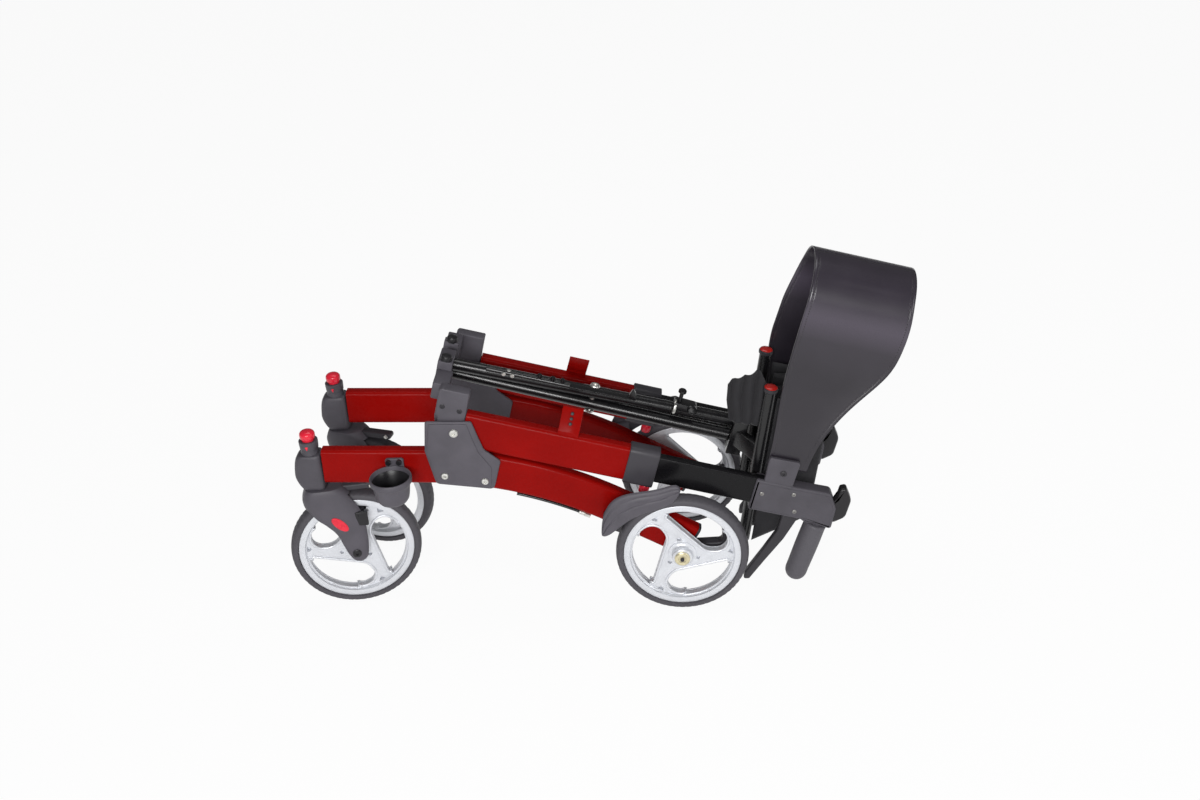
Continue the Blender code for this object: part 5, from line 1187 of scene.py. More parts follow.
def cane_cup():
    """A turned cup with a rolled lip and a base ring, held by a clip plate and two dark screws. A dark rubber shell
    just inside its wall and floor is painted shade.
    """
    at, top, r = (-0.421, -0.1365, 0), 0.259, 0.0312
    low = top - 0.042
    profile = [
        (0, low), (r * 0.50, low), (r * 0.66, low + 0.0016), (r * 0.76, low + 0.0062), (r * 0.81, low + 0.0130),
        (r * 0.86, low + 0.024), (r * 0.895, top - 0.011), (r * 0.925, top - 0.0098), (r * 0.990, top - 0.0085),
        (r, top - 0.0070), (r, top - 0.0012), (r - 0.0008, top), (r - 0.0024, top), (r - 0.0030, top - 0.001),
        (r - 0.0034, top - 0.006), (r * 0.86 - 0.0025, top - 0.013), (r * 0.76 - 0.0025, low + 0.012),
        (r * 0.6, low + 0.006), (0, low + 0.005),
    ]
    # painted shade: a dark shell laid just inside the cup's wall and floor darkens its inside
    painted_shade_shell = [
        (0, low + 0.0052), (r * 0.58, low + 0.0062), (r * 0.76 - 0.0029, low + 0.012), (r * 0.86 - 0.0029, top - 0.013),
        (r - 0.0039, top - 0.0062), (r - 0.0044, top - 0.0062), (r * 0.86 - 0.0034, top - 0.013),
        (r * 0.76 - 0.0034, low + 0.0122), (r * 0.58, low + 0.0068), (0, low + 0.0058),
    ]
    clip = rounded([(-0.434, 0.270, 0.004), (-0.406, 0.270, 0.004), (-0.408, 0.222, 0.004), (-0.432, 0.222, 0.004)], 6)
    shell = [turned(profile, at, Z_AXIS, 72), pillow(clip, -TUBE_OUTER_Y - 0.0055, -TUBE_OUTER_Y, 0.0012)]
    screws = [
        cross_rod((x, 0.2655), -TUBE_OUTER_Y - 0.004, -TUBE_OUTER_Y - 0.0105, 0.0042, 20) for x in (-0.4125, -0.4285)
    ]
    piece("cane_cup_shell", shell, "nylon", "left_chassis", "left_cane_cup", 45)
    # the dark shell inside the cup is painted shade
    piece("cane_cup_lining", turned(painted_shade_shell, at, Z_AXIS, 72), "bumper", "left_chassis", sharp=45)
    piece("cane_cup_screws", screws, "bumper", "left_chassis")


# Uprights, hinge castings and collars


def uprights():
    """A straight frame tube with a riveted red catch under it, whose section is drawn across the upright."""
    line, slopes = straight(UPRIGHT_FRONT_U, -0.114, 3)
    foot_n = UPRIGHT_N + TUBE_H / 2 - 0.003
    catch_u = -0.2350
    for name, side in SIDES:
        body = f"{name}_upright_frame"
        section = rounded(
            [
                (side * 0.0945, foot_n, 0.0), (side * 0.0945, foot_n + 0.006, 0.003), (side * 0.0765, 0.279, 0.0008),
                (side * 0.0765, 0.282, 0.0008), (side * 0.0975, foot_n + 0.007, 0.004), (side * 0.0975, foot_n, 0.0),
            ],
            5,
        )
        catch = pillow(section, -0.0155, 0.0155, 0.0007, 2, un3(catch_u, 0, 0), BRACE_END_VIEW)
        shapes = [frame_tube(line, slopes, side * FRAME_Y), catch]
        piece(f"{name}_upright_tube", shapes, "red_powder", body, f"{name}_upright")
        out = N_AXIS * 0.50 + Y_AXIS * side * 0.86
        rivets = []
        for share in (0.30, 0.52, 0.74):
            centre = un3(catch_u, side * (0.0780 + 0.018 * share), 0.282 - 0.030 * share)
            rivets.append(bolt(centre + out * 0.0012, out, 0.0026, 0.0014))
        piece(f"{name}_catch_rivets", rivets, "nylon_dark", body)


def post(level, side, wall, back, u):
    """A post whose one tab lies over the upper brace arm or under the lower one, drawn across the uprights."""
    tab, top, low = ARM_PIVOT_Y - 0.010, PIVOT_TOP_N, PIVOT_LOW_N
    if level == "upper":
        corners = ((wall, low), (back, low), (back, top), (tab, top), (tab, top - TAB_T), (wall, top - TAB_T))
    else:
        corners = ((tab, low), (back, low), (back, top), (wall, top), (wall, low + TAB_T), (tab, low + TAB_T))
    outline = rounded([(side * y, n, 0.0012) for y, n in corners], 4)
    return pillow(outline, -0.011, 0.011, 0.0015, 3, un3(u, 0, 0), BRACE_END_VIEW)


def brace_pin(level, u, y):
    """The pin of one brace eye, from half-way between the arms into the post's tab."""
    ends = (ARM_MID_N + 0.001, PIVOT_TOP_N - 0.001) if level == "upper" else (PIVOT_LOW_N + 0.001, ARM_MID_N - 0.001)
    return brace_rod(u, y, *ends, BRACE_PIN_R)


def hinge_castings():
    """Head plate with a round eye, reach, post and cap, each a pillow or a turned piece."""
    fold_u, fold_n = to_un(FOLD)
    seat_u, front_u, eye_r = UPRIGHT_FRONT_U - GAP, fold_u - 0.0325, 0.0283
    last = 360 - math.degrees(math.acos((seat_u - fold_u) / eye_r))
    eye = np.array((fold_u, fold_n)) + arc(eye_r, np.linspace(160, last, 40))
    head = [
        (seat_u, 0.2755, 0.001), (seat_u - 0.002, 0.2775, 0.001), (front_u, 0.2775, 0.005),
        (front_u, fold_n + 0.016, 0.002),
    ]
    outline = un(*np.concatenate((rounded(head, 6), eye)).T)
    cap = [(0, -0.001), (0.0085, -0.001), (0.0085, 0.0045), (0.0074, 0.0070), (0.0045, 0.0080), (0, 0.0082)]
    reach_end = FRAME_Y - 0.006
    for name, side, level in (("left", -1, "upper"), ("right", 1, "lower")):
        body = f"{name}_upright_frame"
        bore = cross_rod(FOLD, side * 0.06, side * 0.12, FOLD_PIN_R + GAP, 24, 0)
        low_y, high_y = side * (FRAME_Y - 0.010), side * (FRAME_Y + 0.010)
        reach = rounded(
            [
                (side * 0.036, 0.2495, 0.001), (side * reach_end, 0.2495, 0.001),
                (side * reach_end, 0.2755, 0.001), (side * 0.036, 0.2755, 0.001),
            ],
            3,
        )
        shapes = [
            cut(pillow(outline, low_y, high_y, 0.0018), [bore]),
            post(level, side, 0.024, 0.040, ARM_FRONT_U),
            pillow(reach, -0.012, 0.012, 0.0022, 3, un3(ARM_FRONT_U + 0.002, 0, 0), BRACE_END_VIEW),
            brace_pin(level, ARM_FRONT_U, side * ARM_PIVOT_Y),
        ]
        piece(f"{name}_hinge_casting", shapes, "nylon", body, f"{name}_hinge_bracket")
        piece(f"{name}_post_cap", turned(cap, un3(ARM_FRONT_U, side * 0.031, PIVOT_TOP_N), N_AXIS), "bumper", body)
        heads = [bolt((x, high_y, z), (0, side, 0), 0.0040, 0.0009) for x, z in ((-0.339, 0.353), (-0.315, 0.344))]
        piece(f"{name}_hinge_head_screws", heads, "nylon_dark", body)


def collars():
    """A flat oval sleeve, its section grown by a quarter circle at both ends and its bore stepped, and a turned
    knob with twelve flutes: r = R (1 - 0.025 (1 + cos 12 a))."""
    t = np.linspace(0, math.pi / 2, 5)
    rise = 0.0016 * (1 - np.cos(t))
    grow = 0.0016 * np.sin(np.concatenate((t, t[::-1])))
    places = np.concatenate((COLLAR_FRONT_U + rise, COLLAR_REAR_U - rise[::-1]))
    rows = [(u, oval(TUBE_H + 0.0030, TUBE_T + 0.0028, more)) for u, more in zip(places, grow)]
    narrow, wide, step_u = oval(INNER_H, INNER_T, GAP), oval(TUBE_H, TUBE_T, GAP), -0.1137
    rows += [(COLLAR_REAR_U, narrow), (step_u, narrow), (step_u, wide), (COLLAR_FRONT_U, wide)]
    top = UPRIGHT_N - (TUBE_H + 0.0062) / 2 - GAP
    knob = [
        (0, top - 0.015), (0.0055, top - 0.015), (0.0072, top - 0.0138), (0.008, top - 0.012), (0.008, top - 0.003),
        (0.006, top - 0.0008), (0.0055, top), (0, top),
    ]
    steps = 48
    flutes = np.ones((len(knob), steps))
    flutes[2:5] = 1 - 0.025 * (1 + np.cos(12 * np.arange(steps) / steps * 2 * math.pi))
    for name, side in SIDES:
        y = side * FRAME_Y
        sleeve = np.concatenate([along_line(*straight(u, u, 1), section, y) for u, section in rows])
        sleeve = grid(sleeve, rows_closed=True)
        piece(f"{name}_collar_sleeve", sleeve, "nylon_mid", f"{name}_upright_frame", f"{name}_collar")
        grip = turned(knob, un3(-0.1055, y, 0), N_AXIS, steps, flutes)
        piece(f"{name}_knob_grip", grip, "red_abs", f"{name}_knob", f"{name}_height_knob")


def handle_tubes():
    """A hollow flat oval tube, and a shoe round its front end that slides in the upright."""
    outer, bore, shoe = oval(INNER_H, INNER_T), oval(INNER_H, INNER_T, -0.002), oval(TUBE_H, TUBE_T, -TUBE_WALL - GAP)
    for name, side in SIDES:
        y = side * FRAME_Y
        shapes = [
            tube(*straight(-0.312, HANDLE_END_U, 3), outer, y, bore), tube(*straight(-0.310, -0.286), shoe, y, outer)
        ]
        piece(f"{name}_handle_tube", shapes, "black_gloss", f"{name}_handle", f"{name}_telescoping_tube")


# Handles


def handles():
    """A pillow hollowed for the tube and the lever, with a raised seam, the belt's plate, the grip's core and the
    lever's pin. The bumper is a pillow of its own."""
    casting = rounded(
        [
            (0.113, 0.2155, 0.003), (0.166, 0.201, 0.010), (0.222, 0.187, 0.008), (0.230, 0.160, 0.010),
            (0.2225, 0.1241, 0.004), (0.183, 0.1374, 0.002), (0.177, 0.143, 0.002), (0.147, 0.151, 0.004),
            (0.099, 0.164, 0.003),
        ],
        6,
    )
    bumper = rounded(
        [
            (0.220, 0.166, 0.002), (0.231, 0.176, 0.006), (0.2355, 0.192, 0.003), (0.2445, 0.194, 0.004),
            (0.2525, 0.172, 0.018), (0.2440, 0.142, 0.012), (0.222, 0.131, 0.005),
        ],
        8,
    )
    belt_plate = [(0.132, 0.252, 0.004), (0.177, 0.241, 0.004), (0.164, 0.195, 0.002), (0.122, 0.205, 0.002)]
    slot = [(0.146, 0.162, 0.002), (0.180, 0.164, 0.006), (0.182, 0.125, 0.002), (0.140, 0.125, 0.002)]
    half, seam_half, room_half = 0.0115, 0.0121, 0.0061
    heading = np.array((GRIP_END[0] - GRIP_TOP[0], 0, GRIP_END[1] - GRIP_TOP[1]))
    heading /= np.linalg.norm(heading)
    for name, side in SIDES:
        body, y = f"{name}_handle", side * FRAME_Y
        tube_room = tube(*straight(0.040, HANDLE_END_U + GAP), oval(INNER_H, INNER_T, GAP), y)
        lever_room = pillow(rounded(slot, 4), y - room_half, y + room_half, 0.0)
        start_at = np.array((GRIP_TOP[0], y, GRIP_TOP[1]))
        face = side * (FRAME_Y + 0.0105)
        seam = pillow(inward(casting, 0.0045), y - seam_half, y + seam_half, 0.0006, 2)
        shapes = [
            cut(pillow(casting, y - half, y + half, 0.003, 4), [tube_room, lever_room], 0.0004),
            cut(seam, [lever_room, tube_room]),
            pillow(rounded(belt_plate, 6), side * (FRAME_Y + 0.003), face, 0.0018),
            rod(start_at - heading * 0.012, start_at + heading * (GRIP_LENGTH - 0.006), GRIP_CORE_R, 32),
            cross_rod(LEVER_PIVOT, y - 0.0095, y + 0.0095, LEVER_PIN_R),
        ]
        # the casting's darker nylon is painted shade
        piece(f"{name}_handle_casting", shapes, "nylon_painted_shade", body, f"{name}_handle_bracket")
        piece(f"{name}_handle_bumper", pillow(bumper, y - 0.0085, y + 0.0085, 0.004, 5), "bumper", body)
        heads = [
            bolt((x, side * (FRAME_Y + way * seam_half), z), (0, side * way, 0), 0.0034, 0.0012)
            for way in (1, -1)
            for x, z in HANDLE_SCREWS
        ]
        piece(f"{name}_handle_screws", heads, "steel", body)
        belt_screw = bolt((0.152, face, 0.224), (0, side, 0), 0.0050, 0.0018)
        piece(f"{name}_belt_screw", belt_screw, "nylon_dark", body)
        hand_grip(name, start_at, heading)
        lever_blade(name, y)


def hand_grip(name, start_at, heading):
    """A turned sleeve with a palm swell, three finger rings and a rounded end."""
    r, root, length, bore = 0.0172, 0.0168, GRIP_LENGTH, GRIP_CORE_R + GAP
    h = np.linspace(root + 0.006, length - 0.016, 40)
    swell = 0.985 + 0.018 * np.sin((h - root) / (length - root) * 2 * math.pi - 0.6)
    rings = 0.010 * np.exp(-((((h - 0.106) % 0.0055 - 0.00275) / 0.0009) ** 2)) * (h > 0.094)
    sleeve = np.stack((r * (swell - rings), h), -1)
    t = np.linspace(0.12, math.pi / 2, 10)
    end = np.stack((r * 0.97 * np.cos(t) ** 0.8, length - 0.016 + 0.017 * np.sin(t)), -1)
    profile = [
        (bore, root), (r * 0.90, root), (r * 0.96, root + 0.001), (r, root + 0.0035), *sleeve, *end,
        (0, length + 0.001), (0, length - 0.0057), (bore, length - 0.0057),
    ]
    shape = ring_turned(profile, start_at, heading, 56)
    piece(f"{name}_hand_grip", shape, "grip", f"{name}_handle", f"{name}_grip", 50)


def lever_blade(name, y):
    """A pillow that bends forward under the grip, bored for its pin."""
    x, z = LEVER_PIVOT
    outline = rounded(
        [
            (x - 0.010, z + 0.004, 0.004), (x + 0.006, z + 0.008, 0.006), (x + 0.012, z - 0.010, 0.004),
            (0.153, 0.104, 0.040), (0.124, 0.064, 0.060), (0.101, 0.031, 0.003), (0.092, 0.031, 0.003),
            (0.094, 0.043, 0.004), (0.121, 0.084, 0.040), (0.144, 0.121, 0.020),
        ],
        8,
    )
    bore = cross_rod(LEVER_PIVOT, y - 0.02, y + 0.02, LEVER_PIN_R + GAP, 24, 0)
    shape = cut(pillow(outline, y - 0.0055, y + 0.0055, 0.0022, 4), [bore])
    piece(f"{name}_lever_blade", shape, "nylon_dark", f"{name}_lever", f"{name}_brake_lever", 45)


# Brace, rails, seat and belt


def brace():
    """Two round arms with upright eyes, bored for their pins, and the turned bolt through their middles."""
    centre = (ARM_FRONT_U + ARM_REAR_U) / 2
    for level, way, below, above in (("upper", -1, 0.0097, ARM_EYE_H), ("lower", 1, ARM_EYE_H, 0.0097)):
        n = ARM_N[level]
        low, high = n - below, n + above
        ends = ((ARM_FRONT_U, way * ARM_PIVOT_Y), (ARM_REAR_U, -way * ARM_PIVOT_Y))
        eyes = [brace_rod(u, y, low, high, 0.0099, 32, 0.0008) for u, y in ends]
        bores = [brace_rod(u, y, low - 0.005, high + 0.005, BRACE_PIN_R + GAP, 24, 0) for u, y in ends]
        middle = brace_rod(centre, 0, n - 0.02, n + 0.02, CENTRE_PIN_R + GAP, 24, 0)
        bar = rod(*(un3(u, y, n) for u, y in ends), ARM_R, 32)
        shapes = [cut(bar, [*bores, middle]), *(cut(eye, [bore]) for eye, bore in zip(eyes, bores))]
        piece(f"brace_{level}_bar", shapes, "black_round", f"arm_{level}", f"cross_arm_{level}")
    low, high = ARM_N["lower"] - ARM_R - GAP, ARM_N["upper"] + ARM_R + GAP
    profile = [
        (0, low - 0.0035), (0.0068, low - 0.0035), (0.0075, low - 0.0028), (0.0075, low), (CENTRE_PIN_R, low),
        (CENTRE_PIN_R, high), (0.0080, high), (0.0080, high + 0.001), (0.0066, high + 0.0032), (0.0035, high + 0.0035),
        (0.0035, high + 0.0018), (0, high + 0.0018),
    ]
    piece("brace_centre_bolt", turned(profile, un3(centre, 0, 0), N_AXIS), "zinc", "arm_lower", "cross_pivot_bolt")


def brace_hardware():
    """Stay bar with three bushes, and the clamp on the arms' rear end: rods and pillows lying on the upper arm."""
    n, stay_y, stud_u, clamp_y = ARM_N["upper"] + ARM_R, -0.0165, -0.078, -0.0080
    strip = [(-0.246, -0.0225, 0.002), (-0.150, -0.0185, 0.002), (-0.150, -0.0075, 0.002), (-0.246, -0.0075, 0.002)]
    hook = [(-0.158, 0.000, 0.001), (-0.142, 0.000, 0.001), (-0.146, 0.012, 0.001), (-0.151, 0.017, 0.001)]
    clamp = [(-0.088, -0.002, 0.002), (-0.050, -0.002, 0.002), (-0.052, 0.010, 0.003), (-0.085, 0.012, 0.003)]
    cap = [(0, 0), (0.0052, 0), (0.0062, 0.0012), (0.0062, 0.0045), (0.0046, 0.0060), (0, 0.0064)]
    knob = [(0, 0), (0.0062, 0), (0.0072, 0.0015), (0.0072, 0.0060), (0.0055, 0.0078), (0, 0.0082)]
    ring = [(0.0092, -0.0018), (0.0106, -0.0018), (0.0112, 0.0), (0.0106, 0.0018), (0.0092, 0.0018)]
    black = [
        rod(un3(-0.372, stay_y, n + 0.001), un3(-0.245, stay_y, n + 0.001), 0.0042),
        *(brace_rod(u, stay_y, n + 0.0035, n + 0.0105, 0.0034, 20) for u in (-0.292, -0.272, -0.257)),
        pillow(rounded(strip, 4), -0.0011, 0.0011, 0.0005, 2, un3(0, 0, n + 0.0012), BRACE_TOP_VIEW),
        pillow(rounded(hook, 3), -0.0035, 0.0035, 0.0008, 2, un3(0, -0.0125, n - 0.001), BRACE_SIDE_VIEW),
        pillow(rounded(clamp, 4), -0.0110, 0.0110, 0.0015, 3, un3(0, clamp_y, n), BRACE_SIDE_VIEW),
        brace_rod(stud_u, clamp_y, n + 0.010, n + 0.026, 0.0030, 20),
        turned(cap, un3(stud_u, clamp_y, n + 0.025), N_AXIS, 28),
        turned(knob, un3(-0.060, -0.0170, n + 0.004), U_AXIS * 0.4 - Y_AXIS * 0.7 + N_AXIS * 0.6, 28),
    ]
    bright = [
        *(rod(un3(u, -0.0208, n + 0.001), un3(u, -0.0240, n + 0.001), 0.0030, 20) for u in (-0.345, -0.332)),
        brace_rod(-0.3385, stay_y, n + 0.0045, n + 0.0062, 0.0034, 6),
        ring_turned(ring, un3(-0.084, -0.0110, n + 0.001), U_AXIS, 40),
    ]
    piece("brace_stay_hardware", black, "black_round", "arm_upper")
    piece("brace_stay_screws", bright, "zinc", "arm_upper", sharp=30)


def rails():
    """A round rail held to its post by a pillow, with the brace's pin, and a turned red cap in a dark collar."""
    top = RAIL_BOTTOM + RAIL_WAY * (RAIL_LENGTH - 0.008)
    way = (RAIL_WAY[0], 0, RAIL_WAY[1])
    low_un, high_un = to_un(RAIL_BOTTOM), to_un(RAIL_TOP)
    rail_u = low_un[0] + (high_un[0] - low_un[0]) * (ARM_MID_N - low_un[1]) / (high_un[1] - low_un[1])
    big = RAIL_R + 0.0018
    collar = [(0, GAP), (big - 0.0006, GAP), (big, GAP + 0.0008), (big, 0.0052), (big - 0.0008, 0.0062), (0, 0.0062)]
    lid = [
        (0, 0.0060), (big - 0.0012, 0.0060), (big - 0.0010, 0.0070), (big - 0.0022, 0.0082), (RAIL_R * 0.5, 0.0088),
        (0, 0.0090),
    ]
    for name, side, level in (("left", -1, "lower"), ("right", 1, "upper")):
        body, y = f"{name}_rail", side * RAIL_Y
        place = (top[0], y, top[1])
        holder = rounded(
            [
                (ARM_REAR_U - 0.009, side * 0.027, 0.001), (ARM_REAR_U + 0.0095, side * 0.025, 0.001),
                (rail_u + 0.0063, side * (RAIL_Y - 0.0037), 0.001), (rail_u - 0.0057, side * (RAIL_Y + 0.0033), 0.001),
            ],
            3,
        )
        shapes = [
            rod((RAIL_BOTTOM[0], y, RAIL_BOTTOM[1]), place, RAIL_R, 32),
            post(level, side, 0.022, 0.032, ARM_REAR_U),
            pillow(holder, -0.013, 0.013, 0.0012, 3, un3(0, 0, ARM_MID_N), BRACE_TOP_VIEW),
            brace_pin(level, ARM_REAR_U, side * ARM_PIVOT_Y),
        ]
        piece(f"{name}_rail_bar", shapes, "black_round", body, f"{name}_seat_rail")
        piece(f"{name}_rail_plug", turned(lid, place, way), "red_cap", body, f"{name}_rail_cap")
        piece(f"{name}_rail_collar", turned(collar, place, way), "nylon_dark", body)


def spans(points):
    """The length of each step down the rows and of each step along the columns of a grid of points."""
    return np.linalg.norm(np.diff(points, axis=0), axis=2), np.linalg.norm(np.diff(points, axis=1), axis=2)


def seat_pleats():
    """Each pleat is a sheet between two fold lines A and B: A + (B - A) s along a length t, bowed sideways by
    sin(pi s) (0.6 + 0.4 sin(3 pi t + i)) of 1.0 mm. Its cut map counts metres along both."""
    across = np.array((RAIL_WAY[1], 0, -RAIL_WAY[0]))
    along = np.array((RAIL_WAY[0], 0, RAIL_WAY[1]))
    half_span = RAIL_Y - 0.002
    pitch = 2 * half_span / SEAT_PANELS
    depth = math.sqrt(SEAT_PANEL_W**2 - pitch**2)
    near = RAIL_R + GAP + SEAT_T / 2 / math.sin(math.atan2(pitch, depth))
    base = np.array((RAIL_BOTTOM[0], 0, RAIL_BOTTOM[1]))
    s = np.linspace(-SEAT_LAP, 1 + SEAT_LAP, 25)[:, None, None]
    t = np.linspace(0, 1, 41)[None, :, None]
    for index in range(SEAT_PANELS):
        folds = []
        for end, inset in ((index, SEAT_FOLD_GAP / 2), (index + 1, -SEAT_FOLD_GAP / 2)):
            reach, low = (near, -0.004) if end % 2 == 0 else (near + depth, 0.040)
            foot = base + across * reach + np.array((0, -half_span + end * pitch + inset, 0))
            folds.append(foot + along * (low + (RAIL_LENGTH - 0.020 - low) * t[0]))
        first, second = folds
        bow = 0.0010 * np.sin(math.pi * s) * (0.6 + 0.4 * np.sin(3 * math.pi * t + index))
        points = first + (second - first) * s + bow * np.array((0, 1 if index % 2 else -1, 0))
        width = float(np.linalg.norm(second[20] - first[20]))
        runs = [float(np.linalg.norm(fold[-1] - fold[0])) for fold in folds]
        length = sum(runs) / 2
        uv = np.stack(np.broadcast_arrays(s[..., 0] * width + index * width, t[..., 0] * length), -1)
        number = index + 1
        pleat = f"seat_pleat_{number}"
        obj = cloth(f"{pleat}_cloth", points, "seat", pleat, f"seat_panel_{number}", uv, thickness=0.0008)


def seat_flap():
    """Slack of the seat gathered in front of the left rail: x = rail - w(z) s, y folded by |sin(3.3 pi s)|, its top
    edge a curve in s. Its cut map counts metres along both."""
    s = np.linspace(0, 1, 61)[:, None]
    t = np.linspace(0, 1, 31)[None, :]
    low_z = 0.281
    edge = np.interp(s[:, 0], (0, 0.15, 0.30, 0.45, 0.75, 0.88, 1), (0.346, 0.362, 0.374, 0.366, 0.3585, 0.357, 0.345))
    edge = np.convolve(np.pad(edge, 3, mode="edge"), np.ones(7) / 7, "valid")[:, None]
    z = low_z + (edge - low_z) * t
    rail_x = RAIL_BOTTOM[0] + (z - RAIL_BOTTOM[1]) * RAIL_WAY[0] / RAIL_WAY[1]
    x = rail_x - 0.004 - np.interp(z, (0.275, 0.320, 0.345), (0.045, 0.0556, 0.0576)) * s
    fold = np.abs(np.sin(3.3 * math.pi * s)) ** 0.8
    y = -0.0520 + 0.014 * s - 0.0065 * fold * (0.55 + 0.45 * t) - 0.002 * np.sin(5 * t + 4 * s)
    points = np.stack(np.broadcast_arrays(x, y, z), -1)
    down, along = spans(points)
    cut_map = np.zeros((*points.shape[:2], 2))
    cut_map[1:, :, 0] = np.cumsum(down, 0)
    cut_map[:, 1:, 1] = np.cumsum(along, 1)
    obj = cloth("seat_flap_cloth", points, "seat", "left_rail", None, cut_map, thickness=0.0011)


def eased(value, low, high):
    """A smooth step from 0 at low to 1 at high: 3 t^2 - 2 t^3."""
    t = np.clip((value - low) / (high - low), 0, 1)
    return t * t * (3 - 2 * t)


def belt_halves():
    """A strap between a front and a rear edge curve. It rises straight, then goes round a 64 mm crown:
    y = R cos a, n = N + R sin a. Its cut map counts metres along it and in from the nearer edge."""
    foot_y = FRAME_Y + 0.003 - GAP - 0.0011
    rise = BELT_ROUND_N - BELT_LOW_N
    share = np.linspace(0, 1, 90)
    length = share * (rise + BELT_ROUND_R * math.pi / 2)
    angle = np.maximum(length - rise, 0) / BELT_ROUND_R
    leaning = foot_y + (BELT_ROUND_R - foot_y) * eased(length, 0, rise)
    y = np.where(length < rise, leaning, BELT_ROUND_R * np.cos(angle))
    n = np.where(length < rise, BELT_LOW_N + length, BELT_ROUND_N + BELT_ROUND_R * np.sin(angle))
    climb = (n - BELT_LOW_N) / 0.177
    soft = climb - 0.09 * np.log1p(np.exp((climb - 0.97) / 0.09))
    rear = 0.1195 + 0.087 * np.clip(soft, 0, 1) ** 2 - 0.004 * eased(share, 0.65, 0.85)
    t = np.linspace(0, 1, 41)
    across = np.sin(math.pi * t)[None, :]
    bow = 0.004 * across * np.sin(math.pi * np.minimum(share * 1.4, 1.0))[:, None]
    folds = 0.0012 * across * (np.sin(share * 9.0) * (share < 0.85))[:, None]
    depth = np.maximum(y[:, None] - bow - np.abs(folds), 0.00006)
    for name, side in SIDES:
        lean = 0.010 if side > 0 else 0.0
        front = 0.060 - (0.011 + lean) * eased(n, BELT_LOW_N, 0.410) + lean * eased(n, 0.450, 0.545)
        u = front[:, None] + (rear - front)[:, None] * t
        flat = un(u, np.broadcast_to(n[:, None], u.shape))
        points = np.stack((flat[..., 0], side * depth, flat[..., 1]), -1)
        width = np.abs(rear - front)
        uv = np.stack(np.broadcast_arrays(length[:, None], np.minimum(t, 1 - t) * width[:, None]), -1)
        obj = cloth(f"{name}_belt_cloth", points, "belt", f"{name}_belt", f"{name}_belt_half", uv, thickness=0.0020)


# Operators, one for each group of pieces


class ROLLATOR_OT_camera(bpy.types.Operator):
    """Set up the camera from which the rollator was photographed"""

    bl_idname = "rollator.camera"
    bl_label = "Photo camera"

    def execute(self, context):
        photo_camera()
        return {"FINISHED"}


class ROLLATOR_OT_cables(bpy.types.Operator):
    """Run the brake cables under the side tubes"""

    bl_idname = "rollator.cables"
    bl_label = "Brake cables"

    def execute(self, context):
        make_finishes(context)
        brake_cables(context)
        cable_ends()
        return {"FINISHED"}


class ROLLATOR_OT_side_frames(bpy.types.Operator):
    """Sweep the bent side tubes and fit their hinge covers"""

    bl_idname = "rollator.side_frames"
    bl_label = "Side frames"

    def execute(self, context):
        side_tubes()
        joint_covers(context)
        return {"FINISHED"}


class ROLLATOR_OT_casters(bpy.types.Operator):
    """Build the caster heads, their release buttons and the forks"""

    bl_idname = "rollator.casters"
    bl_label = "Casters"

    def execute(self, context):
        caster_heads()
        release_buttons()
        forks()
        return {"FINISHED"}


class ROLLATOR_OT_wheels(bpy.types.Operator):
    """Build the four swirl-spoked wheels and their tyres"""

    bl_idname = "rollator.wheels"
    bl_label = "Wheels"

    def execute(self, context):
        wheels(context)
        return {"FINISHED"}


class ROLLATOR_OT_rear_castings(bpy.types.Operator):
    """Build the axle castings, tipping pedals, brake guards and rockers"""

    bl_idname = "rollator.rear_castings"
    bl_label = "Rear castings and brakes"

    def execute(self, context):
        axle_castings()
        brake_guards()
        brake_rockers()
        return {"FINISHED"}


class ROLLATOR_OT_cane_cup(bpy.types.Operator):
    """Build the cup for a walking stick and its clip"""

    bl_idname = "rollator.cane_cup"
    bl_label = "Cane cup"

    def execute(self, context):
        cane_cup()
        return {"FINISHED"}


class ROLLATOR_OT_uprights(bpy.types.Operator):
    """Build the folded uprights with their hinge castings, collars and handle tubes"""

    bl_idname = "rollator.uprights"
    bl_label = "Uprights"

    def execute(self, context):
        uprights()
        hinge_castings()
        collars()
        handle_tubes()
        return {"FINISHED"}


class ROLLATOR_OT_handles(bpy.types.Operator):
    """Build the handle castings, grips and brake levers"""

    bl_idname = "rollator.handles"
    bl_label = "Handles"

    def execute(self, context):
        handles()
        return {"FINISHED"}


class ROLLATOR_OT_brace(bpy.types.Operator):
    """Build the folding X brace and the seat rails that it carries"""

    bl_idname = "rollator.brace"
    bl_label = "Brace and rails"

    def execute(self, context):
        brace()
        brace_hardware()
        rails()
        return {"FINISHED"}


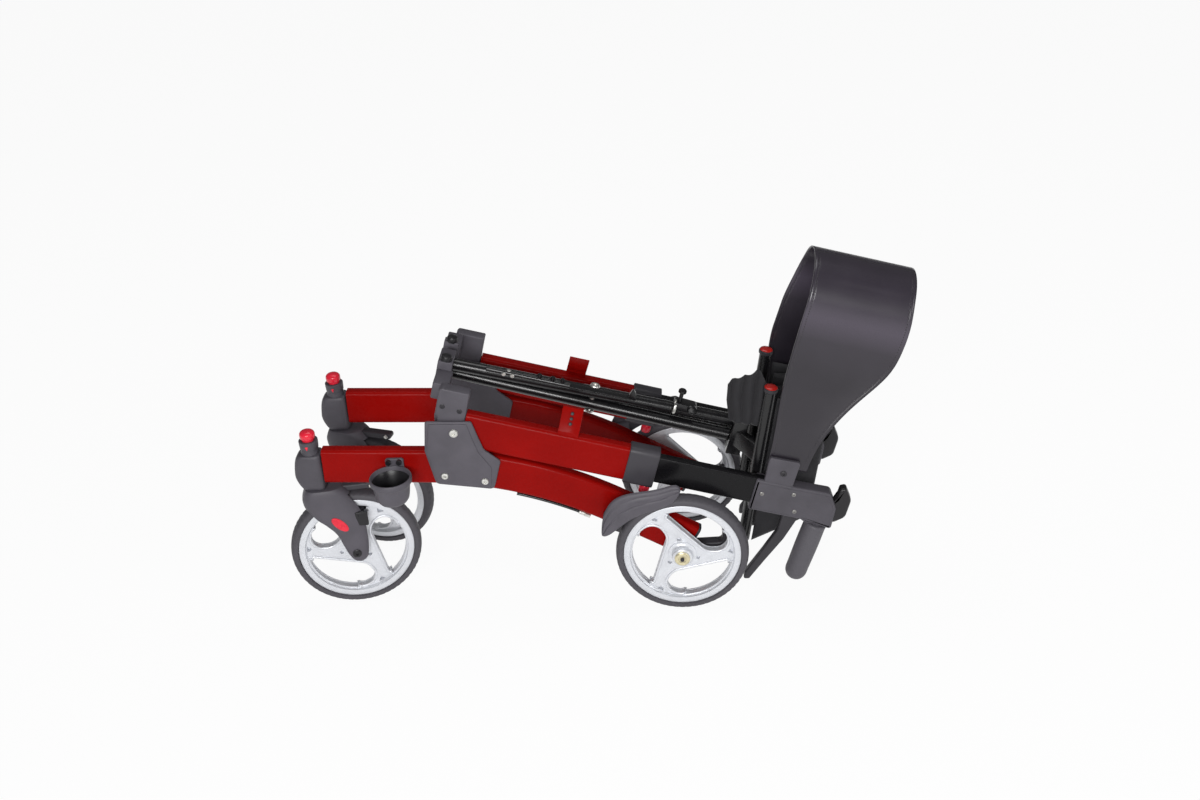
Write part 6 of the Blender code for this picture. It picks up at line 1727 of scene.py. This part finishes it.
class ROLLATOR_OT_seat(bpy.types.Operator):
    """Lay the pleated seat between its rails"""

    bl_idname = "rollator.seat"
    bl_label = "Seat"

    def execute(self, context):
        seat_pleats()
        seat_flap()
        return {"FINISHED"}


class ROLLATOR_OT_belt(bpy.types.Operator):
    """Stretch the backrest belt over its crown"""

    bl_idname = "rollator.belt"
    bl_label = "Backrest belt"

    def execute(self, context):
        belt_halves()
        return {"FINISHED"}


class ROLLATOR_OT_stage(bpy.types.Operator):
    """Lay the white floor and hang the soft studio lamps"""

    bl_idname = "rollator.stage"
    bl_label = "Studio stage"

    def execute(self, context):
        stage()
        return {"FINISHED"}


OPERATORS = (
    ROLLATOR_OT_camera, ROLLATOR_OT_cables, ROLLATOR_OT_side_frames, ROLLATOR_OT_casters, ROLLATOR_OT_wheels,
    ROLLATOR_OT_rear_castings, ROLLATOR_OT_cane_cup, ROLLATOR_OT_uprights, ROLLATOR_OT_handles, ROLLATOR_OT_brace,
    ROLLATOR_OT_seat, ROLLATOR_OT_belt, ROLLATOR_OT_stage,
)


class ROLLATOR_PT_panel(bpy.types.Panel):
    bl_idname = "ROLLATOR_PT_panel"
    bl_label = "Folding rollator"
    bl_space_type = "VIEW_3D"
    bl_region_type = "UI"
    bl_category = "Rollator"

    def draw(self, context):
        layout = self.layout
        for group in (context.scene.rollator_sizes, context.scene.rollator_colours):
            for name in group.bl_rna.properties.keys():
                if name not in ("rna_type", "name"):
                    layout.prop(group, name)
        for operator in OPERATORS:
            layout.operator(operator.bl_idname)


CLASSES = (RollatorSizes, RollatorColours, *OPERATORS, ROLLATOR_PT_panel)


def register():
    for cls in CLASSES:
        bpy.utils.register_class(cls)
    bpy.types.Scene.rollator_sizes = PointerProperty(type=RollatorSizes)
    bpy.types.Scene.rollator_colours = PointerProperty(type=RollatorColours)


def unregister():
    del bpy.types.Scene.rollator_colours
    del bpy.types.Scene.rollator_sizes
    for cls in reversed(CLASSES):
        bpy.utils.unregister_class(cls)


def main():
    register()
    for operator in OPERATORS:
        group, name = operator.bl_idname.split(".")
        getattr(getattr(bpy.ops, group), name)()


if __name__ == "__main__":
    main()
